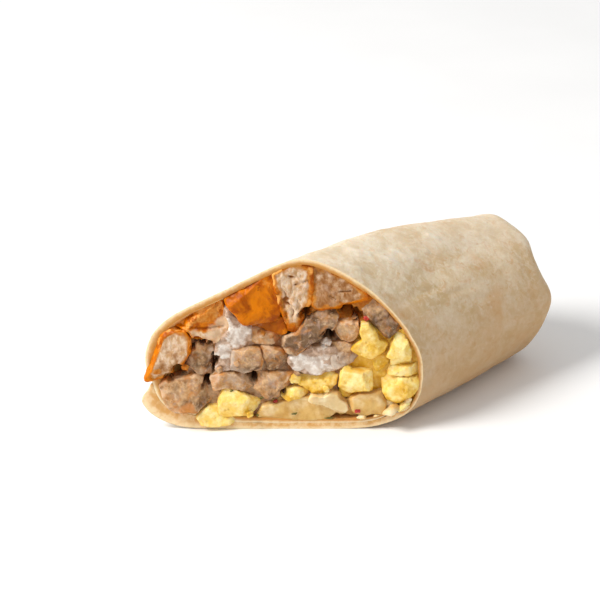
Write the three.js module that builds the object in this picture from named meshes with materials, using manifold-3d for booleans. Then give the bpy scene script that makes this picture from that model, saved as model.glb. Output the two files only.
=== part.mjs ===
// One half of a breakfast burrito: a flour tortilla rolled round potato, sausage, egg and cheese,
// closed at one end and cut on the bias at the other.
//
// Millimetres, +Z up. +X runs along the roll towards its closed end, +Y to the side that the
// bias cut leaves longer. The origin is on the table, under the middle of the bounding box.
import * as THREE from "three";
import { mergeVertices } from "three/addons/utils/BufferGeometryUtils.js";
import Module from "manifold-3d";

const wasm = await Module();
wasm.setup();

// ---------------------------------------------------------------- driving dimensions
const BIAS = THREE.MathUtils.degToRad(45); // between the knife's plane and a square cut
const ROLL_END = 96.5; // closed end, measured along the axis from the cut
const SHEET = 1.8; // thickness of the tortilla
const LAYER_GAP = 0.5; // between two turns of the sheet
const CLEAR = 0.35; // between any two pieces

// The sheet is laid out in columns, counted from the middle of the underside round by -Y.
const TURN_COLUMNS = 48; // to a turn
const SEAM_COLUMN = -10; // the free outer edge, low on the +Y side
const INNER_COLUMN = 54; // where the sheet starts inside
const SEAM = SEAM_COLUMN / TURN_COLUMNS;
const FLAP = { flare: 0.8, corner: 2.6 }; // how far the free edge, and the corner under it, stand off
const SHOULDER = { turn: 0.688, spread: 0.045, out: 3 }; // the filling swells high on the +Y side of the cut

const TUCK = { round: 8, flange: 0.42, recess: 7, fold: 2.4, turns: 1.5, plug: 12 }; // the closed end
const RECESS = 7; // how far the packed filling lies behind the cut

// The packed filling's cross-section: potato on top, cheese below, egg on -Y and sausage on +Y.
const POTATO_FROM = 36.5;
const CHEESE_STRIP = { top: 10.5, from: -20, to: 12 };
const EGG_TO = -4;

// The roll's outline at three places along it. Each holds the leftmost, rightmost and highest point,
// the middle of the underside, and how square each quarter is (2 is round).
const STATIONS = [
  { x: -35, left: [37.0, 13], right: [-31.0, 18.5], top: [-6.4, 61.6], under: 4,
    square: { topRight: 1.6, lowRight: 3.2, lowLeft: 4.0, topLeft: 1.78 } },
  { x: 32, left: [35.0, 17], right: [-28.5, 23.0], top: [2.0, 60.3], under: 2,
    square: { topRight: 1.6, lowRight: 3.4, lowLeft: 2.7, topLeft: 1.2 } },
  { x: ROLL_END, left: [23.0, 19], right: [-28.0, 25.0], top: [-7.0, 49.4], under: -1,
    square: { topRight: 1.35, lowRight: 2.3, lowLeft: 2.3, topLeft: 1.9 } },
];
const UNDERSIDE = -0.7; // the quarters meet this far below the table, which flattens them
const PRESSED = 0.3; // the weight presses flat whatever lies nearer the table than this
const RING = 160; // points of an outline, evenly spaced
const ROUNDING = 10; // rounds of smoothing, as a sheet this thick takes no sharp bend

// The pieces that the knife went through, on the plane of the cut: the middle of each across (to -Y)
// and up, its width and height, its turn in degrees, how far its top narrows, and how far it stands
// out of the cut.
const PIECES = [
  ["potato_1", -44, 26.5, 13, 20, 145, 0.5, 2.6],
  ["potato_2", -31.5, 37.5, 15, 14.5, 95, 0.3, 1.0],
  ["potato_3", -13.5, 44.5, 15.5, 11, -155, 0.7, 2.4],
  ["potato_4", -2, 46, 13, 21, 180, 0.4, 1.6],
  ["potato_5", 10.5, 48.5, 23.5, 12.5, 145, 0.3, 0.2],
  ["potato_6", -10.5, 37.2, 12, 3.4, -4, 0.8, 0.4],
  ["sausage_1", 26, 40, 7.5, 15, 45, 0.7, 0.4],
  ["sausage_2", 15, 35.5, 9.5, 7.5, 165, 0.7, 1.2],
  ["sausage_3", 2.5, 35, 23.5, 5.5, 40, 0.7, 1.8],
  ["sausage_4", -11, 33, 11, 6.5, -170, 0.8, -0.4],
  ["sausage_5", -17.5, 25.5, 10.5, 8, -5, 0.8, 1.2],
  ["sausage_6", -8, 25, 8, 9.5, -85, 0.9, 0.8],
  ["sausage_7", -31.5, 26.5, 7.5, 13, -5, 0.8, 0.2],
  ["sausage_8", -38, 13, 16.5, 13, -170, 0.8, 2.0],
  ["sausage_9", -21, 17.5, 14.5, 6, -25, 0.4, 0.8],
  ["sausage_10", -10, 16.5, 11, 9, 175, 0.6, 0.2],
  ["sausage_11", 13.5, 27, 13.5, 7, 30, 0.5, 1.0],
  ["egg_1", 23, 31.5, 14, 9.5, -120, 0.5, 1.8],
  ["egg_2", 25, 25, 8, 5, 80, 0.4, -1.6],
  ["egg_3", 32.5, 29, 11, 7, 95, 0.7, 1.4],
  ["egg_4", 33.5, 21.5, 10.5, 4, 0, 0.9, 0.8],
  ["egg_5", 32, 14.5, 14.5, 9.5, 160, 0.5, 1.8],
  ["egg_6", 18, 18.5, 11.5, 10.5, 0, 0.9, 2.2],
  ["egg_7", 6.5, 17, 9.5, 9.5, 75, 0.6, 0.2],
  ["egg_8", -2, 13, 5.5, 9, -70, 0.7, 1.0],
  ["egg_9", -21.5, 8.5, 14.5, 9.5, 155, 0.5, 2.0],
  ["egg_10", -30, 5, 5, 8, 110, 0.9, 1.0],
  ["cheese_1", -2.5, 7.5, 11, 26.5, 95, 0.4, 0.2],
  ["cheese_2", 23, 10, 11.5, 7.5, -175, 0.7, 1.0],
  ["cheese_3", 30, 7.5, 4.5, 3.5, -85, 0.6, 0.4],
  ["cheese_4", 13.3, 9.5, 5.5, 4.5, 20, 0.8, 0.2],
  ["cheese_sauce_1", 4.5, 25.5, 11.5, 12, 80, 0.6, 1.0],
  ["cheese_sauce_2", -20.5, 31.5, 7.5, 14.5, 105, 0.8, -0.4],
];
const OVERHANGS = "potato_1"; // this one laps over the rim in front of the cut
const DIE = { corner: 0.22, edge: 1.2, dome: 0.86, jitter: 0.07, lean: 0.12 }; // a piece's rough form

const COLOURS = {
  tortilla: 0xe8d9bb, potato: 0xd9843a, sausage: 0x9a8170, egg: 0xf3df7c, cheese: 0xf0e3bd,
};

// ---------------------------------------------------------------- solids
const { lerp: mix, smoothstep: smooth } = THREE.MathUtils;

function solidOf(geometry) {
  const bare = geometry.clone();
  bare.deleteAttribute("normal");
  bare.deleteAttribute("uv");
  const merged = mergeVertices(bare, 1e-4);
  const mesh = new wasm.Mesh({
    numProp: 3,
    vertProperties: new Float32Array(merged.attributes.position.array),
    triVerts: new Uint32Array(merged.index.array),
  });
  return new wasm.Manifold(mesh);
}

function geometryOf(solid) {
  const mesh = solid.getMesh();
  const geometry = new THREE.BufferGeometry();
  geometry.setAttribute("position", new THREE.BufferAttribute(mesh.vertProperties, 3));
  geometry.setIndex(new THREE.BufferAttribute(mesh.triVerts, 1));
  geometry.computeVertexNormals();
  return geometry;
}

// The largest body of a solid, without the scraps that a cut leaves.
function largest(solid) {
  return solid.decompose().reduce((a, b) => (a.volume() > b.volume() ? a : b));
}

function indexed(points, faces) {
  const geometry = new THREE.BufferGeometry();
  const flat = points.flatMap((p) => [p.x, p.y, p.z]);
  geometry.setAttribute("position", new THREE.Float32BufferAttribute(flat, 3));
  geometry.setIndex(faces);
  return solidOf(geometry);
}

const middle = (points) =>
  points.reduce((a, p) => a.add(p), new THREE.Vector3()).divideScalar(points.length);

// A closed solid through rings of points that run round the roll, capped at both ends.
function loft(rings) {
  const count = rings[0].length;
  const points = [...rings.flat(), middle(rings[0]), middle(rings.at(-1))];
  const faces = [];
  for (let j = 0; j < count; j++) {
    const next = (j + 1) % count;
    for (let i = 0; i + 1 < rings.length; i++) {
      const [a, b] = [i * count + j, i * count + next];
      faces.push(a, b + count, b, a, a + count, b + count);
    }
    const last = (rings.length - 1) * count;
    faces.push(j, next, points.length - 2, last + next, last + j, points.length - 1);
  }
  return indexed(points, faces);
}

// A closed solid between two grids of points, its outer and its inner face.
function sheetBetween(outer, inner) {
  const points = [...outer.flat(), ...inner.flat()];
  const [rows, columns] = [outer.length, outer[0].length];
  const at = (side, i, j) => side * rows * columns + i * columns + j;
  const faces = [];
  const quad = (a, b, c, d) => faces.push(a, c, b, a, d, c);
  for (let i = 0; i + 1 < rows; i++) {
    for (let j = 0; j + 1 < columns; j++) {
      quad(at(0, i, j), at(0, i, j + 1), at(0, i + 1, j + 1), at(0, i + 1, j));
      quad(at(1, i, j), at(1, i + 1, j), at(1, i + 1, j + 1), at(1, i, j + 1));
    }
    const side = columns - 1;
    quad(at(0, i, 0), at(0, i + 1, 0), at(1, i + 1, 0), at(1, i, 0));
    quad(at(0, i, side), at(1, i, side), at(1, i + 1, side), at(0, i + 1, side));
  }
  for (let j = 0; j + 1 < columns; j++) {
    const end = rows - 1;
    quad(at(0, 0, j), at(1, 0, j), at(1, 0, j + 1), at(0, 0, j + 1));
    quad(at(0, end, j), at(0, end, j + 1), at(1, end, j + 1), at(1, end, j));
  }
  return indexed(points, faces);
}

// An upright-sided block from its ranges along Y and Z, long enough for the whole roll.
function block(fromY, toY, fromZ, toZ) {
  const box = new THREE.BoxGeometry(400, toY - fromY, toZ - fromZ);
  return solidOf(box.translate(0, (fromY + toY) / 2, (fromZ + toZ) / 2));
}

// ---------------------------------------------------------------- the cut
const ACROSS = new THREE.Vector3(Math.sin(BIAS), -Math.cos(BIAS), 0);
const OUTWARD = new THREE.Vector3(-Math.cos(BIAS), -Math.sin(BIAS), 0);

const onCut = (across, up, out) =>
  new THREE.Vector3(0, 0, up).addScaledVector(ACROSS, across).addScaledVector(OUTWARD, out);

// All the space behind a plane that stands this far out of the cut.
function behindCut(out) {
  const size = 400;
  const box = new THREE.BoxGeometry(size, size, size).rotateZ(BIAS);
  const centre = onCut(0, 0, out - size / 2);
  return solidOf(box.translate(centre.x, centre.y, 0));
}

// ---------------------------------------------------------------- the roll's outline
// A value at x from its values at the three stations, by the parabola through them.
function along(x, read) {
  const [a, b, c] = STATIONS.map((s) => s.x);
  const [p, q, r] = STATIONS.map(read);
  return (
    (p * (x - b) * (x - c)) / ((a - b) * (a - c)) +
    (q * (x - a) * (x - c)) / ((b - a) * (b - c)) +
    (r * (x - a) * (x - b)) / ((c - a) * (c - b))
  );
}

// The outline at x, from the middle of the underside round by -Y.
function outlineAt(x) {
  const extreme = (name) => [0, 1].map((k) => along(x, (s) => s[name][k]));
  const [left, right, top] = ["left", "right", "top"].map(extreme);
  const under = [along(x, (s) => s.under), UNDERSIDE];
  const square = (name) => along(x, (s) => s.square[name]);
  // Each quarter is swept from where the outline is level to where it is upright, or back.
  const quarters = [
    { level: under, upright: right, back: false, n: square("lowRight") },
    { level: top, upright: right, back: true, n: square("topRight") },
    { level: top, upright: left, back: false, n: square("topLeft") },
    { level: under, upright: left, back: true, n: square("lowLeft") },
  ];
  const steps = 36;
  const corners = [];
  for (const { level, upright, back, n } of quarters) {
    for (let i = 0; i < steps; i++) {
      const turn = ((back ? steps - i : i) / steps) * (Math.PI / 2);
      const y = mix(level[0], upright[0], Math.sin(turn) ** (2 / n));
      const z = mix(upright[1], level[1], Math.cos(turn) ** (2 / n));
      corners.push(new THREE.Vector3(x, y, Math.max(z, 0)));
    }
  }
  let ring = new THREE.CatmullRomCurve3(corners, true).getSpacedPoints(RING).slice(0, RING);
  for (let round = 0; round < ROUNDING; round++) {
    const smoothed = (p, i) => middle([p, p, ring[(i + 1) % RING], ring.at(i - 1)]);
    ring = ring.map(smoothed);
  }
  return ring;
}

// Outlines at even steps along the roll, for reading between.
const SLICE_FROM = -56;
const SLICE_STEP = 4;
const SLICES = [];
for (let x = SLICE_FROM; x <= ROLL_END + SLICE_STEP; x += SLICE_STEP) SLICES.push(outlineAt(x));

// The point of the roll's surface at x and a turn (0 under, 0.25 at -Y, 0.5 on top), moved in by depth.
function skin(x, turn, depth) {
  const s = THREE.MathUtils.clamp((x - SLICE_FROM) / SLICE_STEP, 0, SLICES.length - 1.001);
  const place = (t) => {
    const k = (t - Math.floor(t)) * RING;
    const read = (slice) => slice[Math.floor(k)].clone().lerp(slice[(Math.floor(k) + 1) % RING], k % 1);
    return read(SLICES[Math.floor(s)]).lerp(read(SLICES[Math.floor(s) + 1]), s % 1);
  };
  const way = place(turn + 0.006).sub(place(turn - 0.006)).setX(0).normalize();
  const point = place(turn);
  const height = point.z - way.y * depth;
  return point.set(x, point.y + way.z * depth, height < PRESSED ? 0 : height);
}

// ---------------------------------------------------------------- the tortilla
// How far in from the outline the sheet's outer face lies at a turn.
function layerDepth(turn, x) {
  const nearCut = 1 - smooth(x, -30, 25);
  const flare = FLAP.flare * nearCut * Math.exp(-(turn - SEAM) / 0.03);
  const corner = FLAP.corner * nearCut * smooth(turn, 0.76, 0.84) * (1 - smooth(turn, 0.86, 0.95));
  const offShoulder = (turn - SHOULDER.turn) / SHOULDER.spread;
  const shoulder = SHOULDER.out * nearCut * Math.exp(-0.5 * offShoulder ** 2);
  return (SHEET + LAYER_GAP) * smooth(turn, 0.73, 1 + SEAM) + corner - flare - shoulder;
}

// How far in from the outline the innermost face lies, for a turn from 0 to 1.
function insideDepth(turn, x) {
  const inner = INNER_COLUMN / TURN_COLUMNS - 1;
  const lapped = 1 - smooth(turn, inner + 0.005, inner + 0.03);
  return mix(layerDepth(turn, x) * smooth(turn, 0.5, 0.6), layerDepth(turn + 1, x), lapped) + SHEET;
}

// Where the line along the roll at a turn and depth meets the plane of the cut.
function cutAt(turn, depthAt) {
  let x = 0;
  for (let i = 0; i < 30; i++) x = mix(x, -Math.tan(BIAS) * skin(x, turn, depthAt(x)).y, 0.6);
  return x;
}

const endCentre = middle(Array.from({ length: 48 }, (_, j) => skin(ROLL_END - TUCK.round, j / 48, 0)));

// A point of the closed end, whose sheet rounds the rim and turns in to the middle as inward goes to 1.
function tucked(turn, inward, depth) {
  const rim = skin(ROLL_END - TUCK.round, turn, depth);
  const reach = rim.distanceTo(endCentre);
  const rounded = 0.3;
  const bend = Math.min(inward / rounded, 1) * (Math.PI / 2);
  const flat = Math.max(inward - rounded, 0) / (1 - rounded);
  const radius = TUCK.round - depth;
  const shrink = 1 - (radius * (1 - Math.cos(bend))) / reach;
  const phase = flat * TUCK.turns + turn + 1;
  const fold = TUCK.fold * Math.sqrt(Math.abs(Math.sin(Math.PI * phase))) * smooth(flat, 0.05, 0.35);
  const x = ROLL_END - TUCK.round + radius * Math.sin(bend) - TUCK.recess * smooth(flat, 0, 0.8) + fold;
  return endCentre.clone().lerp(rim, mix(shrink, 0, flat)).setX(x);
}

function wrap() {
  const count = INNER_COLUMN - SEAM_COLUMN + 1;
  const columns = Array.from({ length: count }, (_, j) => (SEAM_COLUMN + j) / TURN_COLUMNS);
  const tubeRows = 13;
  const tuckRows = 5;
  const face = (extra) => {
    const depthAt = (turn, x) => layerDepth(turn, x) + extra;
    const starts = columns.map((turn) => cutAt(turn, (x) => depthAt(turn, x)));
    const rows = [];
    for (let i = 0; i <= tubeRows; i++) {
      rows.push(columns.map((turn, j) => {
        const x = mix(starts[j], ROLL_END - TUCK.round, i / tubeRows);
        return skin(x, turn, depthAt(turn, x));
      }));
    }
    for (let i = 1; i <= tuckRows; i++) {
      rows.push(columns.map((turn) => tucked(turn, (i / tuckRows) * TUCK.flange, depthAt(turn, ROLL_END))));
    }
    return rows;
  };
  return sheetBetween(face(0), face(SHEET));
}

// The folded-in layers that close the end, under the flange of the outer turn.
function plug() {
  const rows = 14;
  const turns = Array.from({ length: TURN_COLUMNS }, (_, j) => j / TURN_COLUMNS);
  const outerTurn = (t) => 1 - smooth(t, 1 + SEAM, 1 + SEAM + 0.02);
  const above = (t) => layerDepth(t, ROLL_END) * outerTurn(t) * smooth(t, 0.5, 0.6);
  const depths = turns.map((t) => above(t) + SHEET / 2);
  const rings = [turns.map((t, j) => skin(ROLL_END - TUCK.plug, t, depths[j]))];
  for (let i = 0; i < rows; i++) rings.push(turns.map((t, j) => tucked(t, i / rows, depths[j])));
  return loft(rings);
}

// ---------------------------------------------------------------- the filling
// The room inside the tortilla, clear of it all round, running out past the cut.
function room() {
  const [from, to, rows] = [-54, ROLL_END - TUCK.plug - CLEAR, 20];
  const rings = [];
  for (let i = 0; i <= rows; i++) {
    const x = mix(from, to, i / rows);
    rings.push(Array.from({ length: TURN_COLUMNS }, (_, j) => {
      const turn = j / TURN_COLUMNS;
      return skin(x, turn, insideDepth(turn, x) + CLEAR);
    }));
  }
  return loft(rings);
}

// The packed filling that runs through the roll, each kind of it one body.
function packed(space) {
  const { top, from, to } = CHEESE_STRIP;
  const above = block(-100, 100, POTATO_FROM, 100);
  const strip = block(from, to, -50, top);
  const roundStrip = block(from - CLEAR, to + CLEAR, -50, top + CLEAR);
  const below = block(-100, 100, -50, POTATO_FROM - CLEAR).subtract(roundStrip);
  const regions = {
    potato_filling: above,
    sausage_filling: below.intersect(block(EGG_TO + CLEAR, 100, -50, 100)),
    egg_filling: below.intersect(block(-100, EGG_TO, -50, 100)),
    cheese_filling: strip,
  };
  const behind = space.intersect(behindCut(-RECESS));
  return Object.entries(regions).map(([name, region]) => [name, largest(behind.intersect(region))]);
}

// A repeatable stream of numbers from -1 to 1.
function wobbles(seed) {
  let state = seed * 7919 + 17;
  return () => {
    state = (state * 1103515245 + 12345) % 2147483648;
    return (state / 2147483648) * 2 - 1;
  };
}

// One diced piece with its knife-cut front, its corners cut back and its sides uneven. It can be
// grown on all sides, to clear room for itself among its neighbours.
function piece([, across, up, width, height, degrees, taper, out], seed, grow) {
  const wobble = wobbles(seed + 1);
  const [wide, high] = [width + 2 * grow, height + 2 * grow];
  const corners = [[-1, -1], [1, -1], [taper, 1], [-taper, 1]].map(
    ([x, y]) => new THREE.Vector2((x * wide) / 2, (y * high) / 2),
  );
  const cutBack = (corner, other) => {
    const way = other.clone().sub(corner);
    const length = Math.min(DIE.corner * Math.min(wide, high), 0.45 * way.length());
    return corner.clone().addScaledVector(way.normalize(), length);
  };
  const neighbours = (i) => [corners.at(i - 1), corners[(i + 1) % 4]];
  const outline = corners.flatMap((corner, i) => neighbours(i).map((other) => cutBack(corner, other)));
  const lean = [wobble() * DIE.lean, wobble() * DIE.lean];
  const [front, back] = [out + grow, CLEAR - RECESS - grow];
  const profile = [[front, DIE.dome], [front - DIE.edge, 1], [back + DIE.edge, 1], [back, DIE.dome]];
  return loft(profile.map(([depth, scale], k) => outline.map((corner) => {
    const p = corner.clone().multiplyScalar(scale + wobble() * DIE.jitter);
    p.rotateAround(new THREE.Vector2(), THREE.MathUtils.degToRad(degrees));
    return onCut(across + p.x, up + p.y, depth + (k < 2 ? p.x * lean[0] + p.y * lean[1] : 0));
  })));
}

// The cut pieces, each trimmed to the room and round the ones before it.
function pieces(space) {
  const lapping = space.add(solidOf(new THREE.BoxGeometry(400, 400, 400)).subtract(behindCut(CLEAR)));
  const done = [];
  PIECES.forEach((row, seed) => {
    let solid = piece(row, seed, 0).intersect(row[0] === OVERHANGS ? lapping : space);
    for (const other of done) solid = solid.subtract(other.grown);
    done.push({ name: row[0], solid: largest(solid), grown: piece(row, seed, 1.4 * CLEAR) });
  });
  return done.map(({ name, solid }) => [name, solid]);
}

// ---------------------------------------------------------------- the whole
const space = room();
const tortilla = largest(wrap().add(plug()));
const named = [["tortilla", tortilla], ...packed(space), ...pieces(space)];

const bounds = named.reduce((box, [, solid]) => {
  const { min, max } = solid.boundingBox();
  return box.expandByPoint(new THREE.Vector3(...min)).expandByPoint(new THREE.Vector3(...max));
}, new THREE.Box3());
const origin = bounds.getCenter(new THREE.Vector3()).setZ(bounds.min.z);

const burrito = new THREE.Group();
for (const [name, solid] of named) {
  const geometry = geometryOf(solid).translate(-origin.x, -origin.y, -origin.z);
  const colour = COLOURS[name.split("_")[0]];
  const mesh = new THREE.Mesh(geometry, new THREE.MeshStandardMaterial({ color: colour }));
  mesh.name = name;
  burrito.add(mesh);
}
export default burrito;
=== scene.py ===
"""One half of a breakfast burrito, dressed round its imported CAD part.

Metres in Blender and millimetres in the sums below. The row frame has +X along the roll towards
its closed end, +Z up, and its origin on the table under the middle of the part.
"""

import contextlib
import itertools
import math
from collections import namedtuple

import bmesh
import bpy
import numpy as np
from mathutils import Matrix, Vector
from mathutils.bvhtree import BVHTree


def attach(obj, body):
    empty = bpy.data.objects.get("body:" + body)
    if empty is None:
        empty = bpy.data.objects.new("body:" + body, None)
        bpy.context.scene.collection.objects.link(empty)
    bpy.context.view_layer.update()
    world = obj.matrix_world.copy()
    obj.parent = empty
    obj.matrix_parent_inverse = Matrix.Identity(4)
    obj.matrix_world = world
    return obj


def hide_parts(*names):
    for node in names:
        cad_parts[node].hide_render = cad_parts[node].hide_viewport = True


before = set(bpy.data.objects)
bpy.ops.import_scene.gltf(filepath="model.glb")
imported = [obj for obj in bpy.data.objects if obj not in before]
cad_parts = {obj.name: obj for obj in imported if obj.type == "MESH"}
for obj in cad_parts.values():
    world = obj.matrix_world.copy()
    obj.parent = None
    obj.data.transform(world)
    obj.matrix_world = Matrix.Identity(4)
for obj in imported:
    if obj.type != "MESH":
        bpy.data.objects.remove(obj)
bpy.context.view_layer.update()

MM = 0.001

# ---------------------------------------------------------------- sizes shared with the part
BIAS = math.radians(45)
ORIGIN = np.array((29.347, 4.720, 0.0))  # the table's origin, seen from the middle of the cut
ACROSS = np.array((math.sin(BIAS), -math.cos(BIAS), 0.0))
OUTWARD = np.array((-math.cos(BIAS), -math.sin(BIAS), 0.0))
UP = np.array((0, 0, 1))
ROLL_END = 96.5
SHEET, LAYER_GAP = 1.8, 0.5
SEAM, INNER = -10 / 48, 54 / 48  # the turns where the sheet's outer and inner edges lie
GIRTH, RING = 205.0, 160  # round the roll, in mm and in points
# The closed end: the radius of its rim, the share of the way in that the outer turn reaches, how deep the
# middle lies, the height and turns of the folds, and how far in from the end the plug starts.
TUCK_ROUND, TUCK_FLANGE, TUCK_RECESS, TUCK_FOLD, TUCK_TURNS, TUCK_PLUG = 8, 0.42, 7, 2.4, 1.5, 12
# The sides, top and underside of the roll at three places along it, each y and z, and how square its
# corners are.
STATION_X = (-35, 32, ROLL_END)
LEFT = ((37.0, 35.0, 23.0), (13, 17, 19))
RIGHT = ((-31.0, -28.5, -28.0), (18.5, 23.0, 25.0))
TOP = ((-6.4, 2.0, -7.0), (61.6, 60.3, 49.4))
UNDER = ((4, 2, -1), (-0.7, -0.7, -0.7))
SQUARE = {"top_right": (1.6, 1.6, 1.35), "low_right": (3.2, 3.4, 2.3),
          "low_left": (4.0, 2.7, 2.3), "top_left": (1.78, 1.2, 1.9)}
SHOULDER_TURN, SHOULDER_SPREAD, SHOULDER_OUT = 0.688, 0.045, 3.0

# ---------------------------------------------------------------- the sheet as it is shown
SEEN_SEAM = -0.218  # the free edge, thinned out onto the turn below it
SIDE_SHEET, TOP_SHEET, UNDER_SHEET = 1.1, 2.0, 1.3
FLAP_LIP = 5.0  # how far below its thinned edge the flap stands off most


# ---------------------------------------------------------------- number helpers
def smooth(value, low, high):
    t = np.clip((np.asarray(value, float) - low) / (high - low), 0, 1)
    return t * t * (3 - 2 * t)


def bell(value, middle, width):
    return np.exp(-(((value - middle) / width) ** 2))


def mix(a, b, t):
    return a + (b - a) * t


def lattice(cells, seed):
    """A repeatable number from 0 to 1 for each whole-numbered cell."""
    c = cells.astype(np.int64).astype(np.uint64)
    n = c[..., 0] * np.uint64(73856093) ^ c[..., 1] * np.uint64(19349663)
    n = n ^ c[..., 2] * np.uint64(83492791) ^ np.uint64(seed * 7919 + 101)
    n = (n ^ (n >> np.uint64(13))) * np.uint64(1274126177)
    n = (n ^ (n >> np.uint64(16))) * np.uint64(2246822519)
    return ((n >> np.uint64(8)) & np.uint64(0xFFFFF)).astype(float) / 0xFFFFF


def value_noise(points, size, seed):
    """Smooth noise from -1 to 1, with bumps about this many millimetres across."""
    p = np.asarray(points, float) / size
    base = np.floor(p)
    f = p - base
    f = f * f * (3 - 2 * f)
    total = np.zeros(p.shape[:-1])
    for corner in itertools.product((0, 1), repeat=3):
        c = np.array(corner)
        total += np.prod(np.where(c, f, 1 - f), axis=-1) * lattice(base + c, seed)
    return total * 2 - 1


def fractal(points, size, seed, octaves=3):
    return sum(value_noise(points, size / 2 ** k, seed + 31 * k) / 2 ** k for k in range(octaves))


def ridge(points, size, seed):
    """Thin creases: 1 on a crease, falling to 0 away from it."""
    return (1 - np.abs(value_noise(points, size, seed))) ** 6


def cell_noise(points, size, seed):
    """The nearest and second nearest of scattered points, and a random number for the nearest."""
    p = np.asarray(points, float) / size
    base = np.floor(p)
    first = np.full(len(p), 9.0)
    second = first.copy()
    tag = np.zeros(len(p))
    for step in itertools.product((-1, 0, 1), repeat=3):
        cell = base + np.array(step)
        spot = cell + np.stack([lattice(cell, seed + k) for k in range(3)], axis=-1)
        gap = np.linalg.norm(spot - p, axis=-1)
        near = gap < first
        second = np.where(near, first, np.minimum(second, gap))
        tag = np.where(near, lattice(cell, seed + 7), tag)
        first = np.where(near, gap, first)
    return first, second, tag


def to_segment(spots, a, b):
    """How far each spot of a plane is from the line between a and b."""
    way = b - a
    part = np.clip((spots - a) @ way / (way @ way), 0, 1)
    return np.linalg.norm(spots - a - part[..., None] * way, axis=-1)


def laid(along, around, level=0.0):
    """Points of the sheet laid flat, in mm."""
    return np.stack(np.broadcast_arrays(along, around, level), axis=-1)


def cut_coordinates(points):
    """Across, up and out of the cut, in mm, for points of the row frame in mm."""
    p = points + ORIGIN
    return p @ ACROSS, p[:, 2], p @ OUTWARD


def in_plane(way):
    """A way across and up on the plane of the cut, as one of the row frame."""
    return way[0] * ACROSS + way[1] * UP


def on_cut(across, up, out):
    return across * ACROSS + up * UP + out * OUTWARD - ORIGIN


# ---------------------------------------------------------------- mesh helpers
def new_object(name, data):
    made = bpy.data.objects.new(name, data)
    bpy.context.scene.collection.objects.link(made)
    return made


def mesh_object(name, points, faces):
    mesh = bpy.data.meshes.new(name)
    mesh.from_pydata((np.asarray(points) * MM).tolist(), [], faces)
    mesh.shade_smooth()
    return new_object(name, mesh)


def triples(data, field):
    flat = np.empty(len(data) * 3, np.float32)
    data.foreach_get(field, flat)
    return flat.reshape(-1, 3).astype(float)


def positions(obj):
    return triples(obj.data.vertices, "co") / MM


def normals(obj):
    return triples(obj.data.vertex_normals, "vector")


def move_to(obj, points):
    obj.data.vertices.foreach_set("co", (points * MM).astype(np.float32).ravel())
    obj.data.update()


def paint(obj, **layers):
    """Gives the vertices attributes for the material, each a number for every vertex or one for all."""
    for name, values in layers.items():
        values = np.broadcast_to(values, len(obj.data.vertices)).astype(np.float32)
        obj.data.attributes.new(name, "FLOAT", "POINT").data.foreach_set("value", values)


@contextlib.contextmanager
def editing(mesh):
    """A bmesh of the mesh, which goes back into it at the end."""
    shell = bmesh.new()
    shell.from_mesh(mesh)
    yield shell
    shell.to_mesh(mesh)
    shell.free()


def fill_holes(shell):
    bmesh.ops.holes_fill(shell, edges=[e for e in shell.edges if e.is_boundary], sides=0)


def grid_faces(rows, columns, rows_meet=False, columns_meet=False):
    """The faces between a grid's points, whose last row or column may meet the first."""
    faces = []
    for i in range(rows if rows_meet else rows - 1):
        a, b = i * columns, (i + 1) % rows * columns
        for j in range(columns if columns_meet else columns - 1):
            k = (j + 1) % columns
            faces.append((a + j, a + k, b + k, b + j))
    return faces


def remeshed(name, mesh, voxel, rounds):
    """An object with a fine, rounded copy of a closed mesh."""
    with editing(mesh) as shell:
        bmesh.ops.remove_doubles(shell, verts=shell.verts, dist=1e-6)
    made = new_object(name, mesh)
    grid = made.modifiers.new("grid", "REMESH")
    grid.mode = "VOXEL"
    grid.voxel_size = voxel * MM
    soften = made.modifiers.new("soften", "SMOOTH")
    soften.factor = 0.5
    soften.iterations = rounds
    bpy.context.view_layer.update()
    fine = bpy.data.meshes.new_from_object(made.evaluated_get(bpy.context.evaluated_depsgraph_get()))
    made.modifiers.clear()
    made.data = fine
    for attribute in [a for a in fine.attributes if a.domain != "POINT" and not a.is_required]:
        if not attribute.is_internal and attribute.name not in ("sharp_face", "material_index"):
            fine.attributes.remove(attribute)
    fine.shade_smooth()
    return made


# ---------------------------------------------------------------- the roll's outline
SLICE_FROM, SLICE_STEP = -64.0, 2.0  # where the first outline stands along the roll, and the next ones
QUARTER_STEPS, SOFTENINGS = 36, 10  # the points of a quarter of an outline, and the rounds of smoothing
TURN_STEP = 0.006  # between two points of the outline that tell which way it runs
CUT_ROUNDS, CUT_STEP = 30, 0.6  # how the search for the plane of the cut closes in on it


def along(x, values):
    """The parabola through the values at the three stations."""
    a, b, c = STATION_X
    p, q, r = values
    return (p * (x - b) * (x - c) / ((a - b) * (a - c)) + q * (x - a) * (x - c) / ((b - a) * (b - c))
            + r * (x - a) * (x - b) / ((c - a) * (c - b)))


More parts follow.
